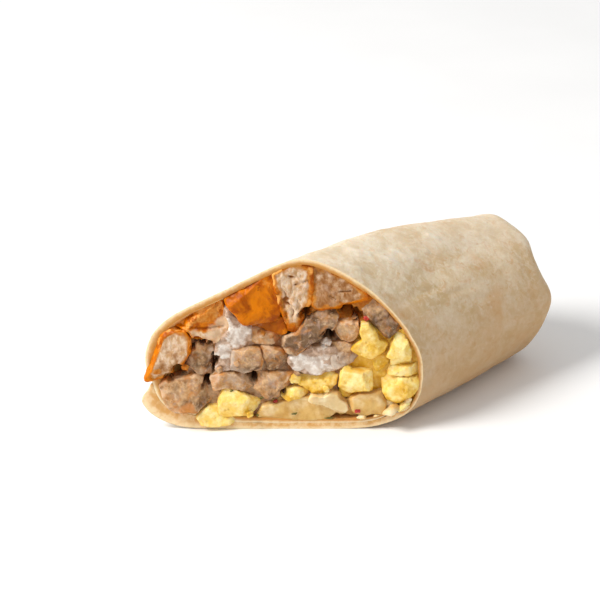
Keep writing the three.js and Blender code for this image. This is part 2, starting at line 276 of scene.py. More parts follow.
def outline_at(x):
    """The outline at x, from the middle of the underside round by -Y."""
    left, right, top, under = ([along(x, v) for v in pair] for pair in (LEFT, RIGHT, TOP, UNDER))
    quarters = ((under, right, False, "low_right"), (top, right, True, "top_right"),
                (top, left, False, "top_left"), (under, left, True, "low_left"))
    corners = []
    for level, upright, back, corner in quarters:
        n = along(x, SQUARE[corner])
        i = np.arange(QUARTER_STEPS)
        turn = (QUARTER_STEPS - i if back else i) / QUARTER_STEPS * math.pi / 2
        y = mix(level[0], upright[0], np.abs(np.sin(turn)) ** (2 / n))
        z = mix(upright[1], level[1], np.abs(np.cos(turn)) ** (2 / n))
        corners.append(np.stack([y, np.maximum(z, 0)], axis=1))
    ring = np.concatenate(corners)
    closed = np.vstack([ring, ring[:1]])
    run = np.concatenate([[0], np.cumsum(np.linalg.norm(np.diff(closed, axis=0), axis=1))])
    even = np.linspace(0, run[-1], RING, endpoint=False)
    ring = np.stack([np.interp(even, run, closed[:, k]) for k in (0, 1)], axis=1)
    for _ in range(SOFTENINGS):
        ring = (2 * ring + np.roll(ring, 1, axis=0) + np.roll(ring, -1, axis=0)) / 4
    return ring


SLICES = np.array([outline_at(x) for x in np.arange(SLICE_FROM, ROLL_END + 6, SLICE_STEP)])


def spline_weights(t):
    return (-0.5 * t + t**2 - 0.5 * t**3, 1 - 2.5 * t**2 + 1.5 * t**3,
            0.5 * t + 2 * t**2 - 1.5 * t**3, -0.5 * t**2 + 0.5 * t**3)


def place(x, turn):
    """The y and z of the outline at x and a turn, smoothly between the slices."""
    s = np.clip((x - SLICE_FROM) / SLICE_STEP, 1, len(SLICES) - 3.001)
    i = np.floor(s).astype(int)
    k = (turn % 1) * RING
    j = np.floor(k).astype(int)
    total = 0
    for a, wa in enumerate(spline_weights(s - i)):
        for b, wb in enumerate(spline_weights(k - j)):
            total = total + (wa * wb)[..., None] * SLICES[i - 1 + a, (j - 1 + b) % RING]
    return total


def skin(x, turn, depth):
    """The roll's surface at x and a turn (0 under, 0.25 at -Y, 0.5 on top), moved in by depth."""
    x, turn, depth = np.broadcast_arrays(*(np.asarray(v, float) for v in (x, turn, depth)))
    way = place(x, turn + TURN_STEP) - place(x, turn - TURN_STEP)
    way = way / np.linalg.norm(way, axis=-1, keepdims=True)
    at = place(x, turn)
    y = at[..., 0] + way[..., 1] * depth
    z = at[..., 1] - way[..., 0] * depth
    return np.stack([x, y, np.maximum(z, 0)], axis=-1)


def layer_depth(turn, x):
    """How far in from the outline the sheet's outer face lies. Near the cut its free edge flares, the corner
    under that edge draws in and the shoulder swells out; towards the closed end the top and the low side
    are a little slimmer than the solid."""
    near_cut = 1 - smooth(x, -30, 25)
    from_edge = (turn - SEEN_SEAM) * GIRTH
    past_lip = np.maximum(from_edge - FLAP_LIP, 0)
    flare = 0.8 * np.exp(-past_lip / 4.0) - 1.1 * bell(from_edge, 14, 6.0)
    flare = flare * near_cut * smooth(from_edge, -0.6, FLAP_LIP) * (turn < 0.3)
    corner = 3.2 * near_cut * smooth(turn, 0.76, 0.85) * (1 - smooth(turn, 0.87, 0.97))
    shoulder = SHOULDER_OUT * near_cut * np.exp(-0.5 * ((turn - SHOULDER_TURN) / SHOULDER_SPREAD) ** 2)
    skyline = 0.9 * smooth(x, 30, 75) * bell(turn, 0.51, 0.08)
    undercut = 1.6 * smooth(x, 55, 92) * bell(turn % 1, 0.16, 0.06)
    lapped = (SHEET + LAYER_GAP) * smooth(turn, 0.73, 1 + SEAM)
    return lapped + corner - flare - shoulder + skyline + undercut


def thickness(turn):
    one_layer = mix(SIDE_SHEET, TOP_SHEET, smooth(turn, 0.34, 0.46))
    return mix(mix(one_layer, SHEET, smooth(turn, 0.7, 0.9)), UNDER_SHEET, smooth(turn, 0.97, 1.02))


def inside_depth(turn, x):
    """The depth of the inner face of the innermost layer, for turns from 0 to 1."""
    lapped = 1 - smooth(turn, INNER - 0.995, INNER - 0.97)
    outer = mix(layer_depth(turn, x), layer_depth(turn + 1, x), lapped)
    return outer + mix(thickness(turn), UNDER_SHEET, lapped)


class Room:
    """The room inside the tortilla, as its reach round a middle line."""

    FROM, TO, POINTS, SPOKES = -62.0, 98.0, 240, 360

    def __init__(self):
        self.x = np.arange(self.FROM, self.TO, 1.0)
        angles = np.linspace(-math.pi, math.pi, self.SPOKES + 1)
        turns = np.linspace(0, 1, self.POINTS, endpoint=False)
        self.middle, self.reach = [], []
        for x in self.x:
            level = np.full_like(turns, x)
            ring = skin(level, turns, inside_depth(turns, level))[:, 1:]
            middle = (ring.min(axis=0) + ring.max(axis=0)) / 2
            spoke = ring - middle
            angle = np.arctan2(spoke[:, 1], spoke[:, 0])
            order = np.argsort(angle)
            length = np.linalg.norm(spoke, axis=1)
            self.middle.append(middle)
            self.reach.append(np.interp(angles, angle[order], length[order], period=2 * math.pi))
        self.middle, self.reach = np.array(self.middle), np.array(self.reach)

    def hold(self, points, spare):
        """Brings points beyond the wall back to it; spare is how far short of it they stop."""
        p = points + ORIGIN
        s = np.clip(p[:, 0] - self.x[0], 0, len(self.x) - 1.001)
        i = s.astype(int)
        f = s - i
        middle = mix(self.middle[i], self.middle[i + 1], f[:, None])
        spoke = p[:, 1:] - middle
        k = (np.arctan2(spoke[:, 1], spoke[:, 0]) + math.pi) / (2 * math.pi) * self.SPOKES
        j = np.minimum(k.astype(int), self.SPOKES - 1)
        near, far = (mix(self.reach[at, j], self.reach[at, j + 1], k - j) for at in (i, i + 1))
        length = np.linalg.norm(spoke, axis=1)
        ratio = np.minimum(1, (mix(near, far, f) - spare) / np.maximum(length, 1e-6))
        held = points.copy()
        held[:, 1:] = middle + spoke * ratio[:, None] - ORIGIN[1:]
        return held


def cut_at(turn, depth_at):
    """Where the line along the roll at a turn and depth meets the plane of the cut."""
    x = np.zeros_like(turn)
    for _ in range(CUT_ROUNDS):
        x = mix(x, -math.tan(BIAS) * skin(x, turn, depth_at(x))[..., 1], CUT_STEP)
    return x


# Where the folds of the closed end make corners: the turn, and how square.
END_CORNERS = ((0.27, 1.5), (0.415, 1.5), (0.53, 1.0), (0.72, 1.0), (0.9, 0.8))
END_CENTRE = skin(np.full(48, ROLL_END - TUCK_ROUND), np.arange(48) / 48, 0).mean(axis=0)
RIM_SHARE = 0.3  # how much of the way in is the bend round the rim


def tucked(turn, inward, depth):
    """The closed end: the sheet rounds the rim and turns in to the middle as inward goes to 1."""
    rim = skin(ROLL_END - TUCK_ROUND, turn, depth)
    reach = np.linalg.norm(rim - END_CENTRE, axis=-1)
    bend = np.minimum(inward / RIM_SHARE, 1) * math.pi / 2
    flat = np.maximum(inward - RIM_SHARE, 0) / (1 - RIM_SHARE)
    radius = TUCK_ROUND - depth
    power = 2 / (2 + sum(size * bell(turn % 1, at, 0.03) for at, size in END_CORNERS))
    shrink = 1 - radius * (1 - np.abs(np.cos(bend)) ** power) / reach
    phase = flat * TUCK_TURNS + turn + 1
    fold = TUCK_FOLD * np.sqrt(np.abs(np.sin(math.pi * phase))) * smooth(flat, 0.05, 0.35)
    point = mix(END_CENTRE, rim, mix(shrink, 0, flat)[..., None])
    recess = TUCK_RECESS * smooth(flat, 0, 0.8)
    point[..., 0] = ROLL_END - TUCK_ROUND + radius * np.sin(bend) ** power - recess + fold
    return point


# ---------------------------------------------------------------- the tortilla
# Short pale ridges where the sheet was drawn tight, from along, turn, to along, turn.
RIDGES = ((28, 0.446, 33, 0.422), (35, 0.445, 41, 0.419), (43, 0.442, 48, 0.427),
          (54, 0.460, 57, 0.451), (8, 0.458, 17, 0.433), (20, 0.470, 25, 0.452))
# Soft dents in the sheet: how far along, the turn, the size along and round in mm, and the depth.
DENTS = ((44, 0.385, 8, 6, 1.0), (40, 0.357, 9, 1.5, 0.45), (52, 0.342, 9, 1.3, 0.4),
         (64, 0.318, 8, 1.5, 0.4), (66, 0.26, 8, 8, 0.5), (20, 0.3, 7, 9, 0.5), (72, 0.42, 12, 5, 0.5))
WRINKLE_WAY = math.radians(52)
EDGE_STEPS = (0, 0.0006, 0.0016, 0.003, 0.0055)  # the first columns of points, in turns from the free edge
TUBE_ROWS, TUCK_ROWS = 126, 16
TUCK_START = ROLL_END - TUCK_ROUND
ROUNDED = 1.2  # how far from either edge the sheet has its full thickness
RIM_PARTS = (0.93, 0.75, 0.5, 0.25, 0.07)  # rows across the cut rim, from the inner face to the outer
LIP_PARTS = (0.25, 0.5, 0.75)  # rows across the edge of the flange, from the outer face to the inner
PLUG_COLUMNS, PLUG_ROWS, PLUG_RADIUS = 220, 46, 30


def drawn_ridges(x, turn):
    """1 along the middle of each short ridge, falling to 0 beside it."""
    sheet_mm = np.array((1, GIRTH))
    spots = np.stack([x, turn], axis=-1) * sheet_mm
    spots = spots + 0.5 * value_noise(laid(x, turn * GIRTH), 3, 19)[..., None]
    drawn = np.zeros_like(x)
    for x0, turn0, x1, turn1 in RIDGES:
        gap = to_segment(spots, np.array((x0, turn0)) * sheet_mm, np.array((x1, turn1)) * sheet_mm)
        drawn = np.maximum(drawn, bell(gap, 0, 1.2))
    return drawn * smooth(value_noise(laid(x, turn * GIRTH, 1.0), 4, 29), -0.7, 0.5)


def sheet_relief(x, turn):
    """How far the sheet stands out of its smooth form: soft swells, dents, wrinkles, creases and ridges."""
    run = turn * GIRTH
    swell = 0.34 * fractal(laid(x, run), 24, 11, 2) + 0.13 * fractal(laid(x, run), 8, 12, 2)
    for at, round_at, long, wide, depth in DENTS:
        swell = swell - depth * np.exp(-(((x - at) / long) ** 2) - (((turn - round_at) * GIRTH / wide) ** 2))
    down = x * math.cos(WRINKLE_WAY) - run * math.sin(WRINKLE_WAY)
    over = x * math.sin(WRINKLE_WAY) + run * math.cos(WRINKLE_WAY)
    wrinkles = -0.25 * ridge(laid(down / 5.0, over), 4.5, 13)
    creases = -0.25 * ridge(laid(x / 7.0, run), 13, 17)
    return swell + wrinkles * (1 - 0.6 * smooth(x, 0, 55)) + creases + 0.5 * drawn_ridges(x, turn)


def thinned(from_edge):
    """The share of its thickness that the sheet has near an edge, which is rounded off."""
    return np.sqrt(np.clip(1 - (1 - np.minimum(from_edge / ROUNDED, 1)) ** 2, 0, 1))


def wrap():
    """The sheet from its free edge to its inner edge, and from the cut to the flange of the closed end."""
    columns = np.concatenate([
        [SEEN_SEAM + step for step in EDGE_STEPS], np.linspace(SEEN_SEAM + 0.009, 0, 44, endpoint=False),
        np.linspace(0, 0.68, 184, endpoint=False), np.linspace(0.68, 1.0, 48, endpoint=False),
        np.linspace(1.0, INNER, 12)])
    tube = np.linspace(0, 1, TUBE_ROWS + 1) ** 1.08
    from_seam = (columns - SEEN_SEAM) * GIRTH
    feather = thinned(from_seam) * mix(0.3, 1, smooth(from_seam, 0, 8))
    blunt = thinned((INNER - columns) * GIRTH)
    single = smooth(columns, INNER - 1, INNER - 1 + 0.03)
    own = thickness(columns)

    def faces_at(turn, x):
        """Depths of the outer and the inner face: where two turns lap, the outer one fills to the inner."""
        outer = layer_depth(turn, x)
        lapped = layer_depth(turn + 1, x) + 0.05
        inner = mix(lapped, outer + own, single)
        outer = inner - (inner - outer) * feather
        middle = (outer + inner) / 2
        return mix(middle, outer, blunt), mix(middle, inner, blunt)

    def face(part):
        """Rows of points from the cut to the flange; part runs from 0, outer face, to 1, inner."""
        start = cut_at(columns, lambda x: mix(*faces_at(columns, x), part)) + 0.12 * abs(2 * part - 1) ** 3
        start = start + 0.16 * value_noise(laid(columns * GIRTH, part * 2), 3.0, 23)  # frayed a little
        x = start + (TUCK_START - start) * tube[:, None]
        sway = 0.007 * value_noise(laid(x, 0.0), 21, 5)  # the free edge isn't cut straight
        turn = columns + sway * np.exp(-(columns - SEEN_SEAM) / 0.04)
        fade = smooth(TUCK_START - x, 0, 6) * mix(1.0, 0.4, part) * mix(0.35, 1.0, smooth(x - start, 0, 5))
        depth = mix(*faces_at(turn, x), part) - sheet_relief(x, turn) * fade
        inward = np.linspace(0, TUCK_FLANGE, TUCK_ROWS + 1)[1:, None] * np.ones_like(columns)
        level = np.broadcast_to(mix(*faces_at(columns, ROLL_END), part), inward.shape)
        tuck = tucked(np.broadcast_to(columns, inward.shape), inward, level)
        flat = laid(inward * 30, columns * GIRTH)
        pleat = 0.5 * value_noise(flat * (0.3, 1, 1), 9, 41) + 0.25 * value_noise(flat, 4, 42)
        tuck[..., 0] += pleat * smooth(inward, 0.06, 0.25) * (1 - 0.5 * part)
        rows = np.concatenate([skin(x, turn, depth), tuck])
        return rows, np.concatenate([x, np.full_like(inward, ROLL_END)])

    outer, outer_x = face(0.0)
    inner, _ = face(1.0)
    rim = [face(part)[0][0] for part in RIM_PARTS]
    lip = [face(part)[0][-1] for part in LIP_PARTS]
    loop = [*outer, *lip, *inner[::-1], *rim]
    count, width, rows_out = len(loop), len(columns), len(outer)
    within = np.concatenate([np.zeros(rows_out), (0.2, 0.5, 0.8), np.ones(rows_out), RIM_PARTS])
    on_rim = np.zeros(count)
    on_rim[-len(RIM_PARTS):] = 1
    on_rim[0] = 0.6
    on_rim[-len(RIM_PARTS) - 1] = 0.8
    wrinkled = np.zeros((count, width))
    wrinkled[:rows_out] = drawn_ridges(outer_x, np.broadcast_to(columns, outer_x.shape))
    faces = grid_faces(count, width, rows_meet=True)
    made = mesh_object("tortilla_sheet", np.concatenate(loop) - ORIGIN, faces)
    paint(made, inner=np.repeat(within, width), rim=np.repeat(on_rim, width), turn=np.tile(columns, count),
          wrinkle=wrinkled.ravel(), wet=np.repeat(within, width) * np.tile(single, count))
    with editing(made.data) as shell:
        ends = [v for v in shell.verts if v.index % width in (0, width - 1)]
        bmesh.ops.remove_doubles(shell, verts=ends, dist=2e-5)
        bmesh.ops.dissolve_degenerate(shell, dist=1e-7, edges=shell.edges)
        fill_holes(shell)
        bmesh.ops.recalc_face_normals(shell, faces=shell.faces)
    made.data.shade_smooth()
    return made


def plug():
    """The folded-in layers that close the end, inside the flange of the outer turn."""
    turns = np.arange(PLUG_COLUMNS) / PLUG_COLUMNS
    outer_turn = 1 - smooth(turns, 1 + SEAM, 1 + SEAM + 0.02)
    depths = layer_depth(turns, ROLL_END) * outer_turn + SHEET / 2
    rings = [skin(ROLL_END - TUCK_PLUG, turns, inner) for inner in (depths + SHEET / 2 + 0.2, depths)]
    for inward in np.arange(PLUG_ROWS) / PLUG_ROWS:
        ring = tucked(turns, np.full(PLUG_COLUMNS, inward), depths)
        radius = PLUG_RADIUS * (1 - inward)
        spot = laid(np.cos(turns * 2 * math.pi) * radius, np.sin(turns * 2 * math.pi) * radius)
        uneven = 0.45 * value_noise(spot, 8, 51) + 0.2 * value_noise(spot, 3, 52)
        ring[:, 0] += uneven * smooth(inward, 0.3, 0.5)
        rings.append(ring)
    points = [*np.concatenate(rings), rings[0].mean(axis=0), rings[-1].mean(axis=0)]
    faces = grid_faces(len(rings), PLUG_COLUMNS, columns_meet=True)
    last = (len(rings) - 1) * PLUG_COLUMNS
    for j in range(PLUG_COLUMNS):
        k = (j + 1) % PLUG_COLUMNS
        faces += [(k, j, len(points) - 2), (last + j, last + k, len(points) - 1)]
    made = mesh_object("tortilla_end", np.array(points) - ORIGIN, faces)
    paint(made, inner=0, rim=0, wet=0, wrinkle=0, turn=0.5)
    with editing(made.data) as shell:
        bmesh.ops.recalc_face_normals(shell, faces=shell.faces)
    made.data.shade_smooth()
    return made


# ---------------------------------------------------------------- the filling
# The faces that the knife left on the dice: how far each stands out of the plane of the cut, how light
# it is from 0 to 1, and its corners on that plane, each across and up. The third number of a corner is
# how wide the side that slopes back along the edge after it is; without it, the side is BLUNT wide.
FACES = {
    "potato_1": (1.8, 0.7, ((-51.4, 19.8, 1.2), (-50.3, 17.8, 1.8), (-43.4, 19.4, 1), (-38.2, 24.4, 0.7),
        (-36, 28, 1), (-35.7, 33.2, 0.8), (-37.4, 35.9), (-42.4, 36.3, 1.3), (-47.3, 33.2, 2.9),
        (-50, 25.5, 2.4))),
    "potato_2": (0.2, 0.95, ((-42.4, 36.6), (-36.3, 36.4), (-34.6, 33.8), (-28, 31.6), (-25.2, 33.6),
        (-22.6, 36.5, 0.4), (-22.4, 40.5), (-24.9, 43.6, 0.7), (-25.6, 48.8, 2.6), (-33.2, 44.6, 3),
        (-39.8, 39.3, 1.6))),
    "potato_3": (1.4, 0.45, ((-25.2, 48.4, 0.9), (-19.7, 40.3, 0.8), (-15.5, 38.9, 1.2), (-6.8, 40.6, 0.6),
        (-6.9, 45.5, 0.8), (-8.6, 51, 0.6), (-9.2, 57.6, 1.2))),
    "potato_4": (0.5, 0.95, ((-8.6, 56.4, 0.8), (-7.4, 48, 0.8), (-5.3, 40.6, 0.7), (-4.2, 36.2, 1.2),
        (-2.4, 35.1, 1.2), (-0.6, 35.7, 1.2), (0.4, 39.6, 1), (1.6, 43, 0.9), (3.5, 45.8, 0.7),
        (4, 51, 0.7), (3.7, 58.4, 0.6), (-2, 59, 0.6))),
    "potato_5": (-0.1, 0.25, ((4.2, 58.2, 0.8), (4.3, 50.5, 0.6), (4, 45, 0.8), (6.6, 42.6, 1.4),
        (12, 44, 1.3), (18, 44.9, 1.2), (23.8, 46.4, 1), (21, 50.4, 0.8), (15.2, 55, 0.8))),
    "potato_6": (0.2, 0.1, ((-17.4, 38.8), (-13.5, 36.6, 0.6), (-6.2, 34.6, 0.8), (-4.6, 36.2, 0.6),
        (-5.7, 40.4, 0.4), (-11, 39.6, 0.3))),
    "sausage_1": (0.1, 0.45, ((17.6, 44.9, 0.6), (20.2, 41.2, 1.4), (23.8, 37.4, 0.7), (26.2, 33.8),
        (28.6, 32.2), (31.2, 34.8), (35.6, 34.8, 1.8), (29.4, 43.4, 0.7), (24.2, 46.4, 0.6))),
    "sausage_2": (1.5, 0.8, ((10.9, 36.4, 1.2), (12.3, 33, 0.8), (15.6, 32.2), (18.9, 33.6),
        (19.7, 36.6, 0.6), (19, 39.7, 0.7), (12.2, 39.5, 0.7))),
    "sausage_3": (2.4, 0, ((-6.3, 31, 1.2), (-4.8, 28.2, 0.8), (-1.2, 27.2, 1), (1.8, 30.2, 1.6),
        (5.5, 33.6, 1.4), (9.3, 35.7, 0.9), (11.4, 37.8, 0.7), (12.7, 40.8, 0.7), (11.8, 42.9, 0.7),
        (6.6, 42.8, 0.8), (2.2, 40.6, 0.8), (-1.4, 35.8, 0.9), (-5.4, 34.4, 1))),
    "sausage_4": (-0.5, 1.4, ((-17.2, 36.4), (-16.2, 31.6, 0.6), (-12, 30.6, 0.8), (-6.9, 31, 0.9),
        (-5.4, 33.6, 0.8), (-7.2, 35.2, 0.6), (-13, 37.2))),
    "sausage_5": (1.9, 0.65, ((-22.9, 22.2, 0.6), (-17.5, 20.9, 0.6), (-12.5, 21.5, 1), (-11.7, 25, 0.4),
        (-12.9, 29.4, 0.6), (-17, 29.8, 0.7), (-22.1, 28.5, 0.6))),
    "sausage_6": (0.5, 0.55, ((-11.4, 25, 0.4), (-10.5, 21.2, 1), (-4.8, 21.4, 0.6), (-3.1, 24.8, 1),
        (-4.9, 28.4, 0.6), (-8, 29.9, 0.8), (-12.7, 30.2, 0.6))),
    "sausage_7": (-0.9, 0.6, ((-37.4, 22.8, 1), (-34.2, 20, 0.6), (-29.4, 19.7, 0.7), (-28, 24),
        (-28, 30.6, 0.6), (-31.2, 31.3, 0.7), (-34.4, 32, 0.6), (-35.4, 27, 1.4))),
    "sausage_8": (1.8, 0.6, ((-47, 16, 0.9), (-45.4, 8.4, 1.4), (-42.6, 5.2, 1.2), (-35, 6.2, 0.8),
        (-31.6, 8.8, 0.7), (-28.4, 10.4, 4.2), (-30.4, 17.2, 1.6), (-33.6, 19.9, 0.8), (-38.4, 19.2, 0.8),
        (-44.4, 17.6, 0.8))),
    "sausage_9": (0.4, 1.3, ((-29.6, 19.4, 0.6), (-28.4, 14.4), (-24.4, 15.4, 0.6), (-20, 14.4, 0.6),
        (-16.2, 11.2), (-14.2, 12.2), (-15.8, 16.5, 1.2), (-18.6, 20.6, 0.6), (-27, 20.8, 0.6))),
    "sausage_10": (1.2, 0.85, ((-15.2, 15.2, 1), (-11.6, 11.4, 0.6), (-6.6, 11.2, 0.6), (-5.6, 14.4, 0.8),
        (-3.4, 16, 2.2), (-0.4, 20.4, 0.8), (-8, 21.1), (-13.4, 20.8, 0.6))),
    "sausage_11": (0.4, 0.8, ((10.4, 23), (12, 21.8), (14.9, 22.9), (17.5, 24.1), (19.9, 26.8),
        (17, 29.2, 0.4), (17.8, 31, 0.4), (14.6, 32.5), (10.3, 31.2), (9.6, 28, 0.4))),
    "egg_1": (2.4, 0.35, ((16.4, 29.4, 1), (19.6, 27.3, 0.6), (24, 25.9, 1.2), (27.4, 28.6, 0.7),
        (28.7, 31.4, 0.6), (25.7, 33.2), (24.9, 36.2, 0.8), (22.2, 38.9, 0.6), (19.9, 38.7),
        (19.2, 36.2, 0.4), (20.2, 33.3, 0.4), (17.4, 31.2))),
    "egg_2": (-0.5, 0, ((23.2, 25.2), (24, 22.4), (25.4, 20), (28.4, 20.4), (29.4, 25), (28.6, 29),
        (25, 28.6))),
    "egg_3": (1.9, 0.8, ((28.1, 27), (29.5, 26.2), (29.5, 22.6, 0.4), (36.5, 23.2, 1.2), (36.5, 28, 0.8),
        (35.2, 32.2, 0.8), (33.4, 34.8, 0.6), (31.3, 34.5, 0.7), (29.8, 31.4, 0.6))),
    "egg_4": (0.8, 0.8, ((28.5, 20.3), (34, 19.5), (38.6, 19.5), (39.4, 21), (38.8, 24.3),
        (36.4, 23.2, 0.4), (29.2, 23.6, 0.4))),
    "egg_5": (2.3, 0.4, ((26.4, 19.2, 0.6), (26.8, 14.4, 0.7), (28.4, 11, 1.2), (31.6, 9.6, 1.2),
        (35.6, 11.2, 0.8), (39.4, 15, 0.6), (38.9, 19.4, 0.4), (34, 19.1, 0.4), (28.2, 20.4, 0.4))),
    "egg_6": (2.6, 0.6, ((12.5, 16, 1), (16, 13.5, 0.6), (20, 14.7), (24.1, 14.9, 1.8), (23.7, 21.3, 1.5),
        (17.2, 22.2, 0.9), (15.2, 24.1, 0.6), (13.1, 21.4, 0.6))),
    "egg_7": (0.4, 0.35, ((-1, 16.4), (2.6, 14.5, 0.4), (5, 12.2), (9.4, 12.6), (11.9, 16.3),
        (12.7, 19.4, 0.6), (10, 20.8, 0.6), (0.6, 20.2, 0.8))),
    "egg_8": (1.1, 0.5, ((-6.4, 12, 0.6), (-3.6, 10.2, 0.6), (-0.4, 11.2), (3.1, 12.2), (3.5, 14.6),
        (-1.5, 15.5, 0.7), (-5, 14.7, 0.7))),
    "egg_9": (2.4, 0.6, ((-27.1, 10.6, 0.7), (-26.7, 6, 0.6), (-24, 4.4, 1), (-17, 5, 1.2),
        (-11.2, 8.5, 0.6), (-13.2, 10.5, 0.7), (-18.5, 13.1, 0.9), (-22.4, 15.3, 0.6), (-25.2, 14.9, 1.4))),
    "egg_10": (1.5, 0.9, ((-34.4, 5, 0.6), (-32.6, 2.2, 0.6), (-28.5, 1.4, 0.6), (-23, 2, 0.6),
        (-18.5, 3.4), (-18, 5.6), (-24, 5.4), (-27, 8.6, 0.7), (-30, 8.6, 0.7), (-32.8, 7, 0.6))),
    "cheese_1": (0.3, 0.3, ((-13.8, 5.2, 0.4), (-12.5, 3.4, 0.4), (-6, 3, 0.4), (8.2, 3.4),
        (11.4, 5.6, 0.6), (12.9, 9), (8.2, 11.9, 0.6), (4, 12.3, 0.6), (-2, 10.9, 0.6), (-7, 9.5),
        (-12.2, 8.3))),
    "cheese_2": (1.5, 0.2, ((16.5, 11.3, 1), (17.3, 6.5), (22, 5.8, 0.6), (27.8, 6.6, 0.6), (28.3, 10.5, 1),
        (26.5, 13.8, 0.7), (19.5, 13.3, 0.7))),
    "cheese_3": (0.4, 1.2, ((28.2, 4.9), (31, 4.2), (33.5, 5.2), (36.4, 7.6), (35.6, 9.8), (32, 9, 0.6),
        (28.5, 10.5), (27.8, 8.4, 0.4))),
    "cheese_4": (1.3, 1.2, ((3, 11.4, 0.4), (8.6, 9.6, 0.4), (12.2, 6.6, 0.4), (15, 5.6, 0.4), (16.2, 7),
        (15.4, 9.6), (13.4, 11.4), (12.4, 13.4), (10.2, 13.6, 0.4), (8, 12.2, 0.4), (3.6, 12.9, 0.4))),
    "cheese_sauce_1": (0.7, 0.85, ((-3.5, 25.4), (-1.2, 22.2), (2, 20.4, 0.6), (6, 20.2, 0.6),
        (11.5, 21, 0.6), (12.6, 25), (11.6, 29.6), (7.5, 30.4, 0.7), (2.6, 29.8), (-1, 27.5, 0.4))),
    "cheese_sauce_2": (0.1, 0.9, ((-27.8, 26), (-26.8, 20.8), (-22.8, 21.6, 0.4), (-21.8, 28.6, 0.4),
        (-13, 29.6), (-16, 31.6, 0.4), (-16.6, 36.4), (-18.4, 39, 0.6), (-24.2, 43.4), (-22.4, 38),
        (-22.6, 35.6), (-26.6, 31.6))),
}
BLUNT = 0.5
CRISP, CRISPED = 0.9, 0.4  # a side narrower than the first is only the blunt of an edge, this much as wide
SKIN_SLOPE = 1.3  # a sloping side falls back this much for each millimetre across
FACE_BACK, BACK_SHRINK = 8.5, 0.86  # how far behind its face a piece reaches, and how wide it is there
LEAN = 0.2  # the most that a face slopes, either way
MASH_OUT = -1.9  # where the filling between the dice lies, a little behind the cut
MASH_FADE = (-12, -8)  # behind the first it stays where it is, ahead of the second it all comes forward
PRESSED_IN, MASH_SPARE = 0.35, 0.1  # how far the dice press into the tortilla and the filling stays off it
HOLE_DEPTH, MASH_HOLE_DEPTH = 5, 7  # how far the dice, and the filling between them, draw back in a gap
DICE_VOXEL, MASH_VOXEL = 0.34, 0.8
# The corners of the dice that the knife missed: which way each falls away from the middle of the face in
# degrees, how much that varies, where it starts on the way to the edge, and its slope.
FACETS = {
    "potato": ((-60, 50, 0.75, 0.5),),
    "sausage": ((-40, 50, 0.45, 0.65), (130, 45, 0.55, 0.7)),
    "egg": ((-50, 60, 0.3, 0.8), (100, 50, 0.35, 0.9), (20, 50, 0.55, 0.9)),
    "cheese": ((-80, 30, 0.6, 0.4),),
    "egg_1": ((15, 0, 0.35, 0.55), (-125, 0, 0.55, 0.5)),
    "sausage_8": ((12, 0, 0.55, 0.9),),
    "cheese_sauce": ((-60, 50, 0.5, 0.3),),
}
LAPS_RIM = {"potato_1": 26.0, "egg_10": 9.0}  # below this height the piece laps over the tortilla's rim
# Browned patches, each across, up, radius and strength, on the plane of the cut.
TOASTED = {
    "potato_1": ((-50.6, 18.8, 3.0, 1.0), (-46.5, 22.0, 1.8, 0.6), (-49.5, 30.0, 2.0, 0.8)),
    "potato_2": ((-31, 42.5, 6.5, 0.6), (-37, 40.4, 3.4, 0.8), (-40.4, 38.2, 2.6, 1.1),
                 (-37.8, 38.4, 2.3, 1.1), (-35.4, 38.1, 2.2, 1.1), (-33.2, 37.8, 2.2, 1.1),
                 (-31.0, 37.7, 2.2, 1.1), (-28.6, 37.9, 2.2, 1.05), (-26.6, 38.6, 2.2, 1.1),
                 (-25.0, 40.4, 2.4, 1.1), (-25.0, 43.6, 2.8, 1.0)),
    "potato_3": ((-15, 47, 18, 1.0), (-22, 49, 5, 1.15), (-14, 41, 4, 1.1)),
    "potato_4": ((-3.0, 36.5, 2.8, 1.0), (3.6, 46.5, 1.4, 0.8), (-8.4, 52.0, 1.6, 0.8)),
    "potato_5": ((22.2, 46.8, 3.0, 1.0), (8.5, 44.0, 1.8, 0.7), (14, 44.8, 1.8, 0.7)),
    "potato_6": ((-11, 38, 9, 1.25),),
    "sausage_4": ((-7.0, 33.0, 3.8, 1.3), (-10.5, 36.0, 3.2, 1.3), (-13.4, 31.0, 1.6, 1.0)),
    "sausage_7": ((-36.4, 24.0, 2.4, 1.0), (-31.5, 21.0, 2.0, 0.7)),
    "sausage_8": ((-43.4, 7.6, 4.0, 1.0), (-37.0, 7.0, 3.4, 1.0), (-45.5, 13.5, 2.4, 0.8)),
    "sausage_10": ((-2.6, 18.4, 2.6, 1.0), (-6.0, 12.4, 2.0, 0.7)),
    "sausage_1": ((19.0, 44.2, 2.6, 0.9), (27.0, 33.6, 2.2, 0.7)),
    "sausage_3": ((-4.6, 29.0, 2.6, 0.8),),
}
# More patches, with the same four numbers: where the potato broke instead of being cut, where melted
# cheese films the pieces, and where the white cheese is thick.
CRUMBLY = ((-3, 53, 6, 1.0), (-2.6, 45, 5, 1.0))
FILMED = ((-24.5, 38.6, 3.4, 0.9), (-28, 34.0, 4.6, 0.8), (-33, 34.5, 3, 0.5), (-23, 33, 5.5, 1.0),
          (-26, 27, 5, 0.8), (-14, 37, 3.5, 0.35), (-20, 19.5, 6, 0.5), (-29, 20, 4, 0.5),
          (3.5, 24.4, 4.5, 0.9), (9, 24, 5, 0.9), (15, 25, 4, 0.5), (12, 30, 3, 0.35),
          (-9, 18, 4.5, 0.35), (-3, 47, 5, 0.2))
MELTED = ((0.5, 25.0, 4.2, 1.0), (4.5, 23.5, 4.5, 1.0), (8.5, 22.6, 2.5, 0.7), (-20, 33.5, 4, 0.75),
          (-23.8, 38.5, 2.8, 1.0), (-24.8, 28.5, 3.5, 0.8), (-17.6, 36, 2.5, 0.6), (8.6, 31.4, 2, 1.0))
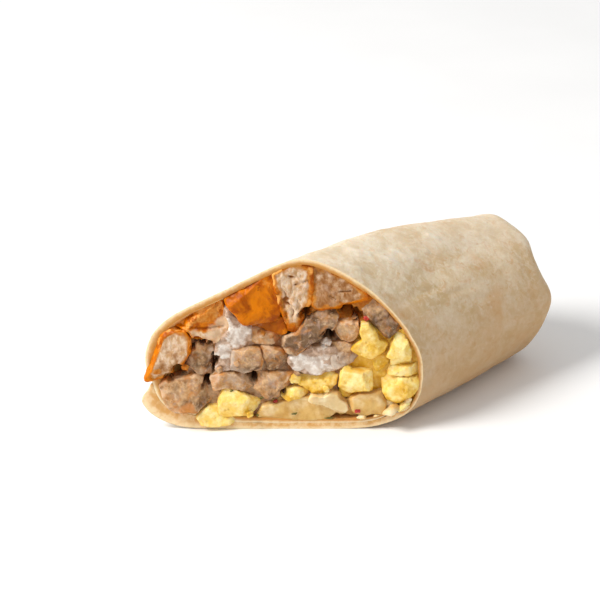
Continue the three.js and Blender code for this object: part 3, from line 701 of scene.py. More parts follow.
# Gaps between the pieces that stay open, drawn back and dark with painted shade: across, up and radius.
HOLES = ((1.8, 42.4, 1.5), (14.8, 42.4, 1.9), (18.4, 41.2, 1.5), (9.3, 35.0, 2.2), (-15.6, 20.2, 1.5),
         (-14.8, 18.4, 1.2), (-27.8, 24.4, 1.2), (-28.2, 22.4, 1.2), (-39.6, 21.8, 2.0),
         (-42.5, 19.8, 1.5), (-33.7, 32.3, 1.4), (-34.6, 29.2, 1.2), (-31.6, 31.5, 1.1),
         (-29.6, 30.9, 1.0), (-28.1, 26.2, 0.9), (-5.4, 13.8, 1.0), (-30.8, 16.8, 1.6))
# Cracks in the potato's cut faces: from across, up, to across, up, and half the width.
CRACKS = ((13.0, 49.7, 16.4, 49.9, 0.4), (9.8, 48.2, 11.6, 47.0, 0.4), (-1.4, 52.2, 2.4, 53.6, 0.5),
          (-39.0, 37.6, -31.3, 36.8, 0.5), (-31.3, 36.8, -25.0, 37.6, 0.5), (-5.4, 47.0, -5.2, 44.6, 0.6),
          (-4.6, 43.0, -4.2, 41.0, 0.5), (-3.6, 55.2, -1.6, 54.8, 0.4))
POTATO_GRAIN = np.array(((0.6, 0.2, 0.3), (0.2, 0.8, -0.3), (-0.1, 0.1, 0.55)))


def spots_of(points):
    """Across and up of each point, on the plane of the cut."""
    return np.stack(cut_coordinates(points)[:2], axis=1)


def patches(points, rounds, seed):
    """How strongly ragged round patches cover each point."""
    spots = spots_of(points)
    wobble = 0.35 * fractal(points, 3.5, seed)
    total = np.zeros(len(points))
    for across, up, radius, strength in rounds:
        reach = np.hypot(*(spots - (across, up)).T) / radius + wobble
        total = np.maximum(total, strength * (1 - smooth(reach, 0.45, 1.2)))
    return total


def hollow_at(points):
    """1 inside a gap between the pieces, falling to 0 at its ragged edge."""
    spots = spots_of(points)
    wobble = 1.1 * fractal(points, 2.2, 97, 2)
    hollow = np.zeros(len(points))
    for across, up, radius in HOLES:
        reach = np.hypot(*(spots - (across, up)).T) + wobble
        hollow = np.maximum(hollow, 1 - smooth(reach, radius * 0.7, radius * 1.3))
    return hollow


def cracks_at(points):
    """1 along the middle of each crack, falling to 0 beside it."""
    spots = spots_of(points)
    wobble = 0.25 * value_noise(points, 1.0, 98) * 0.6
    depth = np.zeros(len(points))
    for *ends, width in CRACKS:
        gap = to_segment(spots, np.array(ends[:2]), np.array(ends[2:]))
        depth = np.maximum(depth, bell(gap + wobble, 0, width))
    return depth


def facing_out(direction):
    return smooth(direction @ OUTWARD, 0.62, 0.92)


def kind_of(node):
    return node.rsplit("_", 1)[0]


def outline_of(node):
    return np.array([corner[:2] for corner in FACES[node][2]])


# The fine form of each kind: how far each point moves out. cut_face is 1 inside the face left by the knife.
def potato_form(points, cut_face, seed):
    creases = ridge(points @ POTATO_GRAIN + 0.6 * fractal(points, 2.5, seed + 1)[:, None], 2.1, seed)
    broken = (-0.9 * creases + 0.6 * fractal(points, 2.4, seed + 2, 2)) * patches(points, CRUMBLY, 6)
    fried = 0.13 * fractal(points, 1.8, seed + 4)
    fine = mix(fried, broken + 0.1 * fractal(points, 1.3, seed + 3), cut_face)
    return 0.3 * fractal(points, 6.0, seed + 5, 2) + fine - 0.8 * cracks_at(points)


def sausage_form(points, cut_face, seed):
    pits = -0.3 * smooth(value_noise(points, 1.7, seed + 5), 0.55, 0.85)
    return 0.25 * fractal(points, 4.5, seed + 1, 2) + pits + 0.16 * fractal(points, 1.2, seed + 2)


def egg_form(points, cut_face, seed):
    nearest, _, tag = cell_noise(points, 1.6, seed)
    pores = -0.3 * (1 - smooth(nearest, 0.12, 0.32)) * (tag > 0.5)
    return 0.08 * fractal(points, 4.5, seed + 1, 2) + pores + 0.12 * fractal(points, 1.1, seed + 2, 2)


def cheese_form(points, cut_face, seed):
    return 0.25 * fractal(points, 5, seed, 2) + 0.1 * fractal(points, 1.4, seed + 1, 2)


def sauce_form(points, cut_face, seed):
    melted = patches(points, MELTED, 8)
    coarse = mix(0.65, 0.3, melted) * fractal(points, 3.2, seed, 2)
    return coarse + mix(0.22, 0.05, melted) * fractal(points, 1.3, seed + 1, 2)


# For each kind of dice: its fine form, the width of the colour along its edges, how far it laps its
# neighbours and how unevenly, how much painted light and shade lighten its top and darken its bottom, and
# the rounds of smoothing.
Kind = namedtuple("Kind", "form border press uneven rise rounds")
KINDS = {
    "potato": Kind(potato_form, 2.4, 0.45, 0.35, 0.3, 1),
    "sausage": Kind(sausage_form, 1.3, 0.0, 0.35, 0.45, 1),
    "egg": Kind(egg_form, 0.6, 0.0, 0.1, 0.3, 1),
    "cheese": Kind(cheese_form, 1.0, 0.25, 0.35, 0.3, 1),
    "cheese_sauce": Kind(sauce_form, 1.0, 0.5, 0.35, 0.3, 3),
}


def crust_of(node, points, facing, seed):
    """How fried or how near an edge each point of a piece is: 0 inside the cut face, 1 on the sides."""
    outline = outline_of(node)
    edges = zip(outline, np.roll(outline, -1, axis=0))
    spots = spots_of(points)
    from_edge = np.min([to_segment(spots, a, b) for a, b in edges], axis=0)
    depth = from_edge + 0.45 * fractal(points, 2.6, seed + 61, 2)
    border = 1 - smooth(depth, -0.1, KINDS[kind_of(node)].border)
    if kind_of(node) == "potato":
        border = border * mix(0.4, 1, smooth(value_noise(points, 8.0, seed + 63), -0.4, 0.3))
        crust = np.maximum(1 - facing, border)
    else:
        crust = np.maximum(1 - facing, border) * smooth(value_noise(points, 6.0, seed + 62), -0.5, 0.3)
    return np.maximum(crust, patches(points, TOASTED.get(node, ()), 3))


def lean(seed, k):
    """A small number from -1 to 1 that is the piece's own."""
    return 2 * lattice(np.array([[seed, k, 11]]), 17)[0] - 1


def slice_off(shell, foot, normal):
    """Cuts away what lies beyond a plane and closes the cut."""
    everything = [*shell.verts, *shell.edges, *shell.faces]
    bmesh.ops.bisect_plane(shell, geom=everything, plane_co=foot, plane_no=normal, clear_outer=True)
    fill_holes(shell)


def block(node, seed):
    """The plain block behind a face: a prism, with its sides and the corners that the knife missed cut."""
    front, _, corners = FACES[node]
    outline = outline_of(node)
    count = len(outline)
    middle = outline.mean(axis=0)
    tilt = LEAN * np.array((lean(seed, 1), lean(seed, 2)))

    def on_face(spot, back=0.0):
        """The point at a spot of the leaning face, or this far behind it."""
        return on_cut(*spot, front - back + (spot - middle) @ tilt)

    shell = bmesh.new()
    rows = []
    for back, shrink in ((0.0, 1.0), (FACE_BACK * 0.5, 1.0), (FACE_BACK, BACK_SHRINK)):
        rows.append([shell.verts.new(on_face(spot, back)) for spot in middle + (outline - middle) * shrink])
    shell.faces.new(rows[0])
    shell.faces.new(rows[-1][::-1])
    for near, far in zip(rows, rows[1:]):
        for i in range(count):
            k = (i + 1) % count
            shell.faces.new((near[i], far[i], far[k], near[k]))
    for i, (_, _, *given) in enumerate(corners):
        width = given[0] if given else BLUNT
        if width < CRISP:
            width *= CRISPED
        edge = outline[(i + 1) % count] - outline[i]
        away = np.array((edge[1], -edge[0])) / np.linalg.norm(edge)
        if ((outline - outline[i]) @ away).max() > 0.6 * width:
            continue  # the outline bends out past this edge, and a plane would cut it off
        slice_off(shell, on_face(outline[i] - away * width), in_plane(away) + OUTWARD / SKIN_SLOPE)
    for degrees, spread, start, slope in FACETS.get(node, FACETS[kind_of(node)]):
        angle = math.radians(degrees + spread * lean(seed, degrees))
        way = np.array((math.cos(angle), math.sin(angle)))
        reach = ((outline - middle) @ way).max()
        foot = middle + way * reach * (start + 0.15 * lean(seed, degrees + 1))
        slice_off(shell, on_face(foot), OUTWARD + in_plane(way) * (slope - way @ tilt))
    bmesh.ops.scale(shell, verts=shell.verts, vec=(MM, MM, MM))
    bmesh.ops.recalc_face_normals(shell, faces=shell.faces)
    mesh = bpy.data.meshes.new(node)
    shell.to_mesh(mesh)
    shell.free()
    return mesh


def shaped(node, seed):
    """A diced piece with the fine form of its kind, and what its material reads off it."""
    kind = KINDS[kind_of(node)]
    made = remeshed(node + "_piece", block(node, seed), DICE_VOXEL, kind.rounds)
    points, direction = positions(made), normals(made)
    facing = facing_out(direction)
    own = seed * 101
    crust = crust_of(node, points, facing, own)
    offset = kind.form(points, facing * (1 - np.clip(crust, 0, 1)), own + 7)
    swell = (1 - facing) * (kind.press + kind.uneven * fractal(points, 3.0, own + 77, 2))
    hollow = hollow_at(points)
    outward = offset + swell * (1 - hollow)
    points = points + direction * outward[:, None] - OUTWARD * HOLE_DEPTH * hollow[:, None]
    _, up, out = cut_coordinates(points)
    held = ROOM.hold(points, -PRESSED_IN)
    if node in LAPS_RIM:
        free = (1 - smooth(up, LAPS_RIM[node] - 3, LAPS_RIM[node])) * smooth(out, -0.6, 0.2)
        held = mix(held, points, free[:, None])
    move_to(made, held)
    film = patches(points, FILMED, 5) * smooth(direction @ OUTWARD, -0.1, 0.5)
    # Painted light and shade: the tone is raised towards the top of the piece and lowered towards its
    # bottom.
    rise = up - up.mean()
    tone = FACES[node][1] + kind.rise * rise / np.abs(rise).max()
    if kind.form is sauce_form:
        tone = 0.15 + 0.85 * patches(points, MELTED, 8)
    # Painted shade: the height is lowered by one in the gaps, and the materials darken where it is low.
    paint(made, crust=crust, height=offset - hollow, film=film, tone=tone)
    return made


def packed(node, seed):
    """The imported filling, brought forward to just behind the dice, so that it shows between them."""
    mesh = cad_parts[node].data.copy()
    mesh.materials.clear()
    made = remeshed(node + "_body", mesh, MASH_VOXEL, 4)
    points, direction = positions(made), normals(made)
    nearest, second, tag = cell_noise(points, 8.0, seed)
    lumpy = 1.1 * smooth(second - nearest, 0, 0.3) + 0.8 * (tag - 0.5) - 0.7
    points = points + direction * (lumpy + 0.25 * fractal(points, 2, seed + 1))[:, None]
    out = cut_coordinates(points)[2]
    target = MASH_OUT + 0.5 * fractal(points, 2.4, seed + 3) - MASH_HOLE_DEPTH * hollow_at(points)
    points = points + OUTWARD * ((target - out) * smooth(out, *MASH_FADE))[:, None]
    move_to(made, ROOM.hold(points, MASH_SPARE))
    # Painted shade: the filling behind the dice is darkened, with its height below zero and lowest in the
    # gaps, crust at 0.6 and the darkest tone.
    height = -0.35 - 1.5 * hollow_at(points) + 0.4 * fractal(points, 2.0, seed + 4, 2)
    paint(made, crust=0.6, height=height, film=0, tone=0)
    return made


# ---------------------------------------------------------------- materials
class Shader:
    """A material under construction. Each method adds nodes and returns the output socket of the last."""

    def __init__(self, name):
        self.material = bpy.data.materials.new(name)
        self.material.use_nodes = True
        self.tree = self.material.node_tree
        self.surface = self.tree.nodes["Principled BSDF"]
        self.where = self.tree.nodes.new("ShaderNodeTexCoord").outputs["Object"]

    def node(self, kind, inputs=(), **settings):
        made = self.tree.nodes.new(kind)
        for key, value in settings.items():
            setattr(made, key, value)
        for key, value in dict(inputs).items():
            self.put(made.inputs[key], value)
        return made

    def put(self, socket, value):
        if isinstance(value, bpy.types.NodeSocket):
            self.tree.links.new(value, socket)
        else:
            socket.default_value = value

    def set(self, **values):
        for key, value in values.items():
            self.put(self.surface.inputs[key.replace("_", " ")], value)

    def attribute(self, name):
        return self.node("ShaderNodeAttribute", attribute_name=name).outputs["Fac"]

    def noise(self, size, detail=3, roughness=0.55, distortion=0.0, where=None):
        inputs = {"Vector": where or self.where, "Scale": 1000 / size, "Detail": detail,
                  "Roughness": roughness, "Distortion": distortion}
        return self.node("ShaderNodeTexNoise", inputs).outputs["Fac"]

    def cells(self, size):
        inputs = {"Vector": self.where, "Scale": 1000 / size}
        return self.node("ShaderNodeTexVoronoi", inputs).outputs["Distance"]

    def stretched(self, scale, rotation=(0, 0, 0)):
        inputs = {"Vector": self.where, "Scale": scale, "Rotation": rotation}
        return self.node("ShaderNodeMapping", inputs).outputs["Vector"]

    def maths(self, operation, a, b):
        made = self.node("ShaderNodeMath", operation=operation)
        self.put(made.inputs[0], a)
        self.put(made.inputs[1], b)
        return made.outputs[0]

    def range(self, value, low, high, to_low=0.0, to_high=1.0):
        inputs = {"Value": value, "From Min": low, "From Max": high, "To Min": to_low, "To Max": to_high}
        return self.node("ShaderNodeMapRange", inputs, interpolation_type="SMOOTHSTEP").outputs["Result"]

    def level(self, name, low, high):
        """An attribute, stretched from 0 at low to 1 at high."""
        return self.range(self.attribute(name), low, high)

    def mottle(self, size, low, high, *settings):
        """Noise of this size in mm, stretched from 0 at its low level to 1 at its high one."""
        return self.range(self.noise(size, *settings), low, high)

    def uneven(self, name, amount, size, detail=3, low=0.3, high=0.7):
        """An attribute with noise of up to this amount added or taken away."""
        return self.maths("ADD", self.attribute(name),
                          self.range(self.noise(size, detail), low, high, -amount, amount))

    def ragged(self, name, amount, size, detail=3):
        """The same with the whole of the noise's range, to roughen an edge."""
        return self.uneven(name, amount, size, detail, 0, 1)

    def blend(self, factor, a, b):
        """From a to b, each a socket or a linear colour."""
        made = self.node("ShaderNodeMix", data_type="RGBA")
        self.put(made.inputs[0], factor)
        for socket, value in ((made.inputs[6], a), (made.inputs[7], b)):
            self.put(socket, value if isinstance(value, bpy.types.NodeSocket) else (*value, 1))
        return made.outputs[2]

    def shades(self, factor, a, b):
        """From one sRGB colour to another."""
        return self.blend(factor, rgb(*a), rgb(*b))

    def toned(self, tone, cloud, dark, light):
        """From the dark to the light by tone, each a pair of sRGB colours that cloud mottles."""
        return self.blend(tone, self.shades(cloud, *dark), self.shades(cloud, *light))

    def tint(self, base, colour, mask, share=1.0):
        """Lays an sRGB colour over the base, at most by this share."""
        return self.blend(self.maths("MULTIPLY", mask, share), base, rgb(*colour))

    def sheen(self, size, low, high):
        """A roughness that varies between two values."""
        return self.range(self.noise(size), 0.35, 0.65, low, high)

    def bump(self, height, distance, strength, under=None):
        inputs = {"Height": height, "Distance": distance * MM, "Strength": strength}
        if under is not None:
            inputs["Normal"] = under
        return self.node("ShaderNodeBump", inputs).outputs["Normal"]

    def finish(self, base, roughness, specular, normal, glow, green, blue, reach):
        """Sets the surface. glow is the share of light that goes in, and reach how far red goes in mm."""
        self.set(Base_Color=base, Roughness=roughness, Specular_IOR_Level=specular, Normal=normal)
        self.set(Subsurface_Weight=glow, Subsurface_Radius=(1.0, green, blue), Subsurface_Scale=reach * MM)
        return self.material


def rgb(red, green, blue):
    """A linear colour from an sRGB one."""
    return tuple(v / 12.92 if v <= 0.04045 else ((v + 0.055) / 1.055) ** 2.4
                 for v in (c / 255 for c in (red, green, blue)))


def tortilla_material():
    s = Shader("tortilla_flour")
    far = s.range(s.node("ShaderNodeSeparateXYZ", {"Vector": s.where}).outputs["X"], -0.012, 0.06)
    base = s.shades(s.mottle(13, 0.34, 0.66, 4, 0.6, 0.5), (205, 179, 136), (232, 217, 190))
    patch = s.mottle(4.0, 0.42, 0.62, 4, 0.7, 0.8)
    base = s.tint(base, (240, 228, 206), patch, 0.6)
    base = s.tint(base, (204, 174, 130), s.mottle(1.4, 0.32, 0.68, 3, 0.7), 0.34)
    warm = s.maths("ADD", s.maths("MULTIPLY", far, 0.22), s.mottle(22, 0.5, 0.72, 3, 0.6, 0.4))
    base = s.tint(base, (214, 162, 102), warm, s.range(far, 0, 1, 0.3, 0.62))
    base = s.tint(base, (202, 150, 90), s.mottle(2.6, 0.56, 0.7, 3, 0.6, 0.8), 0.42)
    base = s.tint(base, (208, 142, 80), s.mottle(6.5, 0.6, 0.76, 3, 0.6, 1.2), 0.35)
    base = s.tint(base, (244, 235, 218), s.mottle(2.4, 0.56, 0.72, 4, 0.7, 0.3), 0.35)
    # Painted shade: the underside and the -Y side of the roll are darker and browner.
    low = s.maths("MULTIPLY", s.level("turn", 0.44, 0.14), s.level("turn", -0.14, 0.1))
    base = s.tint(base, (182, 143, 96), low, 0.78)
    # Painted light: the top of the roll is lighter.
    high = s.maths("MULTIPLY", s.level("turn", 0.36, 0.46), s.level("turn", 0.62, 0.52))
    base = s.tint(base, (240, 227, 208), high, 0.25)
    base = s.tint(base, (244, 234, 218), s.level("wrinkle", 0.0, 1.0), 0.32)
    inside = s.shades(s.mottle(5, 0.35, 0.65, 4, 0.6, 0.5), (212, 152, 78), (226, 184, 118))
    base = s.blend(s.level("inner", 0.3, 0.85), base, inside)
    # The cut rim runs from pale at the outer face to golden at the inner one, where oil soaked in; the pale
    # at the outer edge is partly a painted highlight.
    edge = s.shades(s.level("inner", 0.05, 0.65), (240, 214, 170), (212, 160, 92))
    edge = s.tint(edge, (246, 224, 182), s.mottle(2.2, 0.4, 0.65, 3, 0.6), 0.5)
    edge = s.tint(edge, (214, 170, 108), s.mottle(1.4, 0.5, 0.7, 3, 0.6), 0.4)
    edge = s.tint(edge, (196, 136, 62), s.level("wet", 0.2, 0.9))
    base = s.blend(s.level("rim", 0.6, 0.95), base, edge)
    streaks = s.noise(1.3, 3, 0.6, 0.3, s.stretched((0.25, 1, 1), (0, 0, 0.5)))
    normal = s.bump(s.noise(3.2), 0.34, 0.5, s.bump(streaks, 0.1, 0.6))
    normal = s.bump(s.noise(0.5, 2, 0.6), 0.035, 0.5, normal)
    return s.finish(base, s.range(patch, 0, 1, 0.62, 0.8), 0.3, normal, 0.2, 0.55, 0.3, 1.2)


def filmed(s, base, full, colour):
    """Thin melted cheese over a piece, ragged at its edge. It covers most where film reaches full."""
    milky = s.shades(s.mottle(2.6, 0.3, 0.7), [c - 34 for c in colour], colour)
    cover = s.range(s.ragged("film", 0.3, 1.8, 4), 0.2, full)
    return s.blend(s.maths("MULTIPLY", cover, 0.8), base, milky)


def potato_material():
    s = Shader("potato_fried")
    grain = s.stretched((1.3, 1.0, 0.6), (0.5, 0.2, 0.3))
    fibre = s.mottle(1.5, 0.34, 0.66, 4, 0.6, 0.4, grain)
    tone = s.uneven("tone", 0.42, 3.0, 4)
    pale = s.toned(s.range(tone, 0.1, 0.95), fibre, ((136, 84, 36), (176, 130, 88)),
                   ((192, 148, 102), (226, 200, 172)))
    # Painted highlight on the raised crumbs, and painted shade in the creases and cracks.
    pale = s.tint(pale, (238, 222, 202), s.level("height", 0.1, 0.55), 0.6)
    pale = s.tint(pale, (136, 80, 34), s.level("height", -0.3, -0.8))
    brown = s.shades(s.mottle(5.5, 0.36, 0.66, 4, 0.6, 0.6), (214, 120, 3), (156, 70, 0))
    # Lighter crust where the tone is high, which takes in the painted light at the top of the piece.
    brown = s.tint(brown, (238, 168, 84), s.range(tone, 0.85, 1.3))
    brown = s.tint(brown, (134, 62, 6), s.mottle(1.3, 0.62, 0.78, 3, 0.6))
    ragged = s.ragged("crust", 0.22, 1.6)
    edge = s.range(ragged, 0.4, 1.0)
    rim = s.shades(s.mottle(1.2, 0.3, 0.7), (200, 138, 62), (176, 100, 24))
    base = s.blend(s.range(ragged, 0.05, 0.55), pale, rim)
    base = s.blend(edge, base, brown)
    base = s.tint(base, (120, 52, 2), s.level("crust", 1.02, 1.3), 0.6)
    base = filmed(s, base, 0.9, (236, 206, 172))
    # Painted shade, darkest in the gaps between the pieces and the deepest cracks.
    base = s.tint(base, (84, 42, 12), s.level("height", -0.9, -2.0))
    normal = s.bump(s.noise(0.8, 3, 0.6, 0.3, grain), 0.12, 0.6)
    normal = s.bump(s.noise(2.0), 0.25, 0.4, normal)
    return s.finish(base, s.range(edge, 0, 1, 0.5, 0.34), 0.1, normal, 0.2, 0.5, 0.2, 1.2)


def sausage_material():
    s = Shader("sausage_mince")
    tone = s.range(s.uneven("tone", 0.4, 4.0), 0.0, 1.0)
    base = s.toned(tone, s.mottle(3.2, 0.34, 0.66, 4, 0.6, 0.4), ((84, 56, 32), (126, 96, 66)),
                   ((172, 122, 68), (216, 176, 130)))
    base = s.tint(base, (158, 132, 118), s.mottle(2.0, 0.48, 0.64, 3, 0.6, 0.5), 0.55)
    base = s.tint(base, (190, 122, 52), s.mottle(3.4, 0.5, 0.68, 3, 0.6, 0.7), 0.5)
    base = s.tint(base, (224, 192, 156), s.mottle(1.5, 0.54, 0.7, 3, 0.6, 0.3), 0.45)
    # Along its edges and sides the mince is browned orange, mottled with pale that is a painted highlight on
    # the cut edges.
    rim = s.shades(s.mottle(5.0, 0.42, 0.58), (196, 126, 54), (222, 188, 150))
    ragged = s.range(s.ragged("crust", 0.3, 1.8), 0.2, 0.9)
    base = s.blend(s.maths("MULTIPLY", ragged, 0.7), base, rim)
    base = s.tint(base, (186, 100, 24), s.level("crust", 0.95, 1.3), 0.7)
    base = s.tint(base, (104, 68, 42), s.mottle(1.6, 0.58, 0.72, 3, 0.6, 0.3), 0.4)
    # Painted shade in the pits and in the gaps between the pieces.
    base = s.tint(base, (92, 58, 34), s.level("height", -0.3, -0.95))
    base = filmed(s, base, 0.95, (224, 208, 192))
    normal = s.bump(s.noise(0.7, 3, 0.6), 0.12, 0.7)
    normal = s.bump(s.noise(1.7, 4, 0.6), 0.25, 0.5, normal)
    return s.finish(base, s.sheen(2.2, 0.36, 0.6), 0.28, normal, 0.15, 0.5, 0.35, 1.0)


def egg_material():
    s = Shader("egg_scrambled")
    tone = s.range(s.uneven("tone", 0.3, 4.0), 0.0, 0.8)
    base = s.toned(tone, s.mottle(2.8, 0.36, 0.66, 4, 0.6), ((216, 162, 22), (240, 198, 74)),
                   ((242, 204, 98), (252, 230, 162)))
    base = s.tint(base, (254, 236, 176), s.mottle(1.1, 0.54, 0.75, 3, 0.6), 0.4)
    # Painted shade: deeper yellow in the pores and the gaps, and on the sides and edges of the dice.
    base = s.tint(base, (214, 158, 30), s.level("height", -0.25, -0.7))
    base = s.tint(base, (226, 174, 40), s.level("crust", 0.45, 1.0), 0.55)
    normal = s.bump(s.range(s.cells(1.0), 0.05, 0.3), 0.1, 0.5)
    normal = s.bump(s.noise(0.8, 3, 0.6), 0.1, 0.5, normal)
    return s.finish(base, s.sheen(2.0, 0.38, 0.55), 0.4, normal, 0.35, 0.75, 0.25, 1.4)


def cheese_material():
    s = Shader("pepper_cheese")
    tone = s.range(s.uneven("tone", 0.3, 5.0), 0.1, 0.9)
    base = s.toned(tone, s.mottle(4.0, 0.36, 0.66, 4, 0.6), ((200, 152, 72), (218, 180, 106)),
                   ((230, 202, 146), (242, 224, 182)))
    streak = s.mottle(1.6, 0.6, 0.76, 3, 0.6, 0.6, s.stretched((0.35, 0.35, 1)))
    base = s.tint(base, (198, 148, 76), streak, 0.45)
    # Painted shade: darker along the edges and on the sides of the dice.
    base = s.tint(base, (204, 154, 80), s.level("crust", 0.35, 0.95), 0.5)
    normal = s.bump(s.noise(0.5, 2), 0.05, 0.5, s.bump(s.noise(1.2), 0.14, 0.5))
    return s.finish(base, s.sheen(2.6, 0.32, 0.5), 0.45, normal, 0.35, 0.7, 0.4, 1.5)


def sauce_material():
    s = Shader("melted_white_cheese")
    tone = s.range(s.uneven("tone", 0.35, 2.6, 4), 0.25, 0.75)
    base = s.toned(tone, s.mottle(2.2, 0.36, 0.64, 4, 0.6, 0.5), ((156, 122, 94), (204, 174, 150)),
                   ((206, 188, 172), (240, 232, 222)))
    # Painted shade in the crevices and the gaps.
    base = s.tint(base, (154, 116, 86), s.level("height", -0.15, -0.8))
    normal = s.bump(s.noise(1.3, 4, 0.6), 0.12, 0.5)
    return s.finish(base, s.sheen(2.0, 0.24, 0.44), 0.5, normal, 0.3, 0.8, 0.6, 1.2)


def pepper_material(name, light, dark):
    s = Shader(name)
    base = s.shades(s.mottle(0.8, 0.35, 0.65), dark, light)
    roughness = s.range(s.noise(0.6, 2), 0.3, 0.7, 0.25, 0.4)
    return s.finish(base, roughness, 0.5, s.bump(s.noise(0.4, 2), 0.05, 0.6), 0.2, 0.4, 0.3, 0.6)


def floor_material():
    s = Shader("pale_floor")
    base = s.blend(s.mottle(60, 0.3, 0.7, 2), (0.93, 0.93, 0.93), (0.95, 0.95, 0.95))
    s.set(Base_Color=base, Roughness=s.range(s.noise(20, 2), 0, 1, 0.55, 0.6), Specular_IOR_Level=0.2)
    return s.material


# ---------------------------------------------------------------- crumbs and flecks
# Crumbs that the photo shows: kind, across, up, out and radius.
BITS = (("cheese_sauce", 8.6, 31.6, -0.4, 1.3), ("potato", -37.6, 22.8, 0.2, 1.2),
        ("cheese", 29.8, 7.4, 1.2, 2.2), ("cheese", 32.6, 5.6, 0.6, 1.4), ("egg", 34.4, 8.6, 0.8, 2.1),
        ("cheese", 35.4, 11.0, 0.0, 1.3), ("egg", 8.6, 15.4, 1.0, 1.3), ("sausage", -20.6, 24.8, 1.6, 0.8),
        ("cheese", 20.4, 4.6, 0.3, 1.3), ("cheese", 25.4, 4.8, 0.2, 1.1), ("egg", -16.6, 6.2, 0.8, 1.2),
        ("potato", -12.6, 35.0, 0.0, 1.4), ("sausage", -1.0, 20.6, 0.0, 1.2), ("egg", -1.6, 18.4, -0.9, 1.9),
        ("sausage", -26.6, 21.8, -0.4, 1.3), ("sausage", 14.2, 35.6, 0.2, 1.1))
# Pepper flecks in the cheese: across, up, length, height, degrees, and whether red.
FLECKS = ((-12.6, 10.6, 2.0, 0.7, 25, False), (-2.0, 5.8, 2.2, 0.6, 5, False),
          (18.9, 7.2, 1.7, 1.5, 0, True), (-8.0, 9.5, 1.4, 1.6, 40, True), (21.8, 40.4, 2.1, 1.9, 30, True),
          (31.5, 5.2, 1.4, 0.5, -20, False), (9.3, 4.0, 3.2, 0.5, 0, False),
          (-22.5, 14.2, 1.2, 0.7, 30, False), (-14.0, 5.0, 1.0, 0.6, 60, False))
FLECK_THICK = 0.45
CRUMB_DETAIL, FLECK_DETAIL = 3, 2  # how often the faces of a lump are divided
RAY_FROM = 14  # how far out of the cut the rays start that find where a fleck lies


def lump(centre, radii, turn, seed, detail):
    """The points and faces of one small uneven lump."""
    ball = bmesh.new()
    bmesh.ops.create_icosphere(ball, subdivisions=detail, radius=1)
    unit = np.array([v.co for v in ball.verts])
    faces = [[v.index for v in f.verts] for f in ball.faces]
    ball.free()
    boxed = np.sign(unit) * np.abs(unit) ** 0.55
    boxed = boxed * (1 + 0.3 * fractal(unit + seed * 3.7, 0.9, 71, 2))[:, None]
    return (boxed * radii) @ np.array(turn) + centre, faces


def lumps(name, rows):
    """One piece with a lump for each row."""
    points, faces, count = [], [], 0
    for row in rows:
        p, f = lump(*row)
        points.append(p)
        faces += [[i + count for i in face] for face in f]
        count += len(p)
    made = mesh_object(name, np.concatenate(points), faces)
    offset = 0.15 * fractal(positions(made), 0.9, 81, 2)
    move_to(made, ROOM.hold(positions(made) + normals(made) * offset[:, None], 0))
    at = positions(made)
    paint(made, height=offset, film=0, crust=0.35 + 0.4 * fractal(at, 3, 83, 2),
          tone=0.7 + 0.4 * fractal(at, 4, 84, 2))
    return made


def random_turn(rng):
    q = rng.normal(size=4)
    w, x, y, z = q / np.linalg.norm(q)
    return ((1 - 2 * (y * y + z * z), 2 * (x * y - z * w), 2 * (x * z + y * w)),
            (2 * (x * y + z * w), 1 - 2 * (x * x + z * z), 2 * (y * z - x * w)),
            (2 * (x * z - y * w), 2 * (y * z + x * w), 1 - 2 * (x * x + y * y)))


def crumbs():
    rng = np.random.default_rng(4)
    rows = {}
    for seed, (kind, across, up, out, radius) in enumerate(BITS):
        radii = radius * rng.uniform(0.6, 1.15, 3)
        row = (on_cut(across, up, out), radii, random_turn(rng), seed, CRUMB_DETAIL)
        rows.setdefault(kind, []).append(row)
    return {kind: lumps(kind + "_crumbs", found) for kind, found in rows.items()}


def tree_of(obj):
    mesh = obj.data
    return BVHTree.FromPolygons([v.co for v in mesh.vertices], [p.vertices for p in mesh.polygons])


def flecks(under):
    """The red and the green flecks, each lying on the foremost of the pieces under it."""
    trees = [tree_of(obj) for obj in under]
    rows = {True: [], False: []}
    for seed, (across, up, length, height, degrees, is_red) in enumerate(FLECKS):
        start = Vector(on_cut(across, up, RAY_FROM) * MM)
        hits = [tree.ray_cast(start, Vector(-OUTWARD))[3] for tree in trees]
        out = RAY_FROM - min((h for h in hits if h is not None), default=RAY_FROM * MM) / MM
        spin = math.radians(degrees)
        cos, sin = math.cos(spin), math.sin(spin)
        turn = (in_plane((cos, sin)), in_plane((-sin, cos)), OUTWARD)
        radii = (length / 2, height / 2, FLECK_THICK)
        rows[is_red].append((on_cut(across, up, out), radii, turn, seed, FLECK_DETAIL))
    return lumps("pepper_red", rows[True]), lumps("pepper_green", rows[False])


# ---------------------------------------------------------------- build
ROOM = Room()
sheet = wrap()
end = plug()
dice_nodes = [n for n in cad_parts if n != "tortilla" and not n.endswith("_filling")]
dice_nodes.sort(key=lambda n: (kind_of(n), int(n.rsplit("_", 1)[1])))
dice = [shaped(node, seed) for seed, node in enumerate(dice_nodes)]
bodies = {k: packed(k + "_filling", i + 61) for i, k in enumerate(("potato", "sausage", "egg", "cheese"))}
loose = crumbs()
red, green = flecks((*dice, *loose.values(), *bodies.values()))

# ---------------------------------------------------------------- dress
MATERIALS = {
    "tortilla": tortilla_material(),
    "potato": potato_material(),
    "sausage": sausage_material(),
    "egg": egg_material(),
    "cheese": cheese_material(),
    "cheese_sauce": sauce_material(),
}


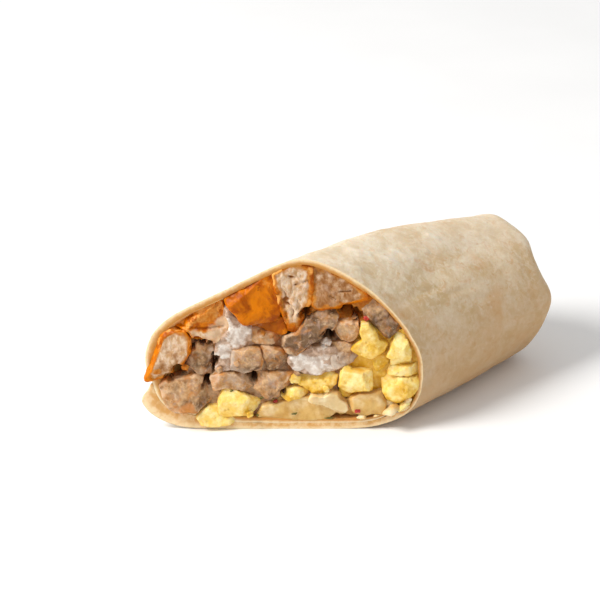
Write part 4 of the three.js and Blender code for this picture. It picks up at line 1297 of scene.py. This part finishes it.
def dress(obj, material, slot, *nodes):
    obj.data.materials.clear()
    obj.data.materials.append(material)
    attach(obj, "root")
    if nodes:
        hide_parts(*nodes)


dress(sheet, MATERIALS["tortilla"], "tortilla", "tortilla")
dress(end, MATERIALS["tortilla"], "tortilla", "tortilla")
for obj, node in zip(dice, dice_nodes):
    dress(obj, MATERIALS[kind_of(node)], kind_of(node), node)
for kind, obj in bodies.items():
    dress(obj, MATERIALS[kind], kind, kind + "_filling")
for kind, obj in loose.items():
    dress(obj, MATERIALS[kind], kind)
dress(red, pepper_material("red_pepper", (206, 60, 40), (150, 30, 24)), "cheese")
dress(green, pepper_material("green_pepper", (132, 124, 50), (86, 84, 30)), "cheese")

# ---------------------------------------------------------------- floor, light and camera
FLOOR_REACH = 4000
LOOK = Vector((0.6409, 0.6409, -0.4226))  # 25 degrees down, and 45 degrees round from +X

corners = [(x * FLOOR_REACH, y * FLOOR_REACH, 0) for x, y in ((-1, -1), (1, -1), (1, 1), (-1, 1))]
floor = mesh_object("floor", corners, [(0, 1, 2, 3)])
floor.data.materials.append(floor_material())

camera = new_object("camera", bpy.data.cameras.new("camera"))
camera.location = (-0.6970, -0.6724, 0.4872)
camera.rotation_euler = LOOK.to_track_quat("-Z", "Y").to_euler()
camera.data.lens = 193.0
camera.data.sensor_width = 36.0
camera.data.clip_start = 0.05
camera.data.clip_end = 20
bpy.context.scene.camera = camera

KEY_AT, KEY_TARGET = Vector((-0.85, 0.35, 0.95)), Vector((0, 0, 0.03))
light = bpy.data.lights.new("key", "AREA")
light.shape = "DISK"
light.size = 0.6
light.energy = 16.6
light.color = (1.0, 0.985, 0.96)
key = new_object("key", light)
key.location = KEY_AT
key.rotation_euler = (KEY_TARGET - KEY_AT).to_track_quat("-Z", "Y").to_euler()

world = bpy.data.worlds.new("studio")
world.use_nodes = True
sky = world.node_tree.nodes["Background"].inputs
sky["Color"].default_value = (1, 1, 1, 1)
sky["Strength"].default_value = 0.6
bpy.context.scene.world = world
bpy.context.scene.view_settings.view_transform = "Standard"
bpy.context.scene.view_settings.look = "None"
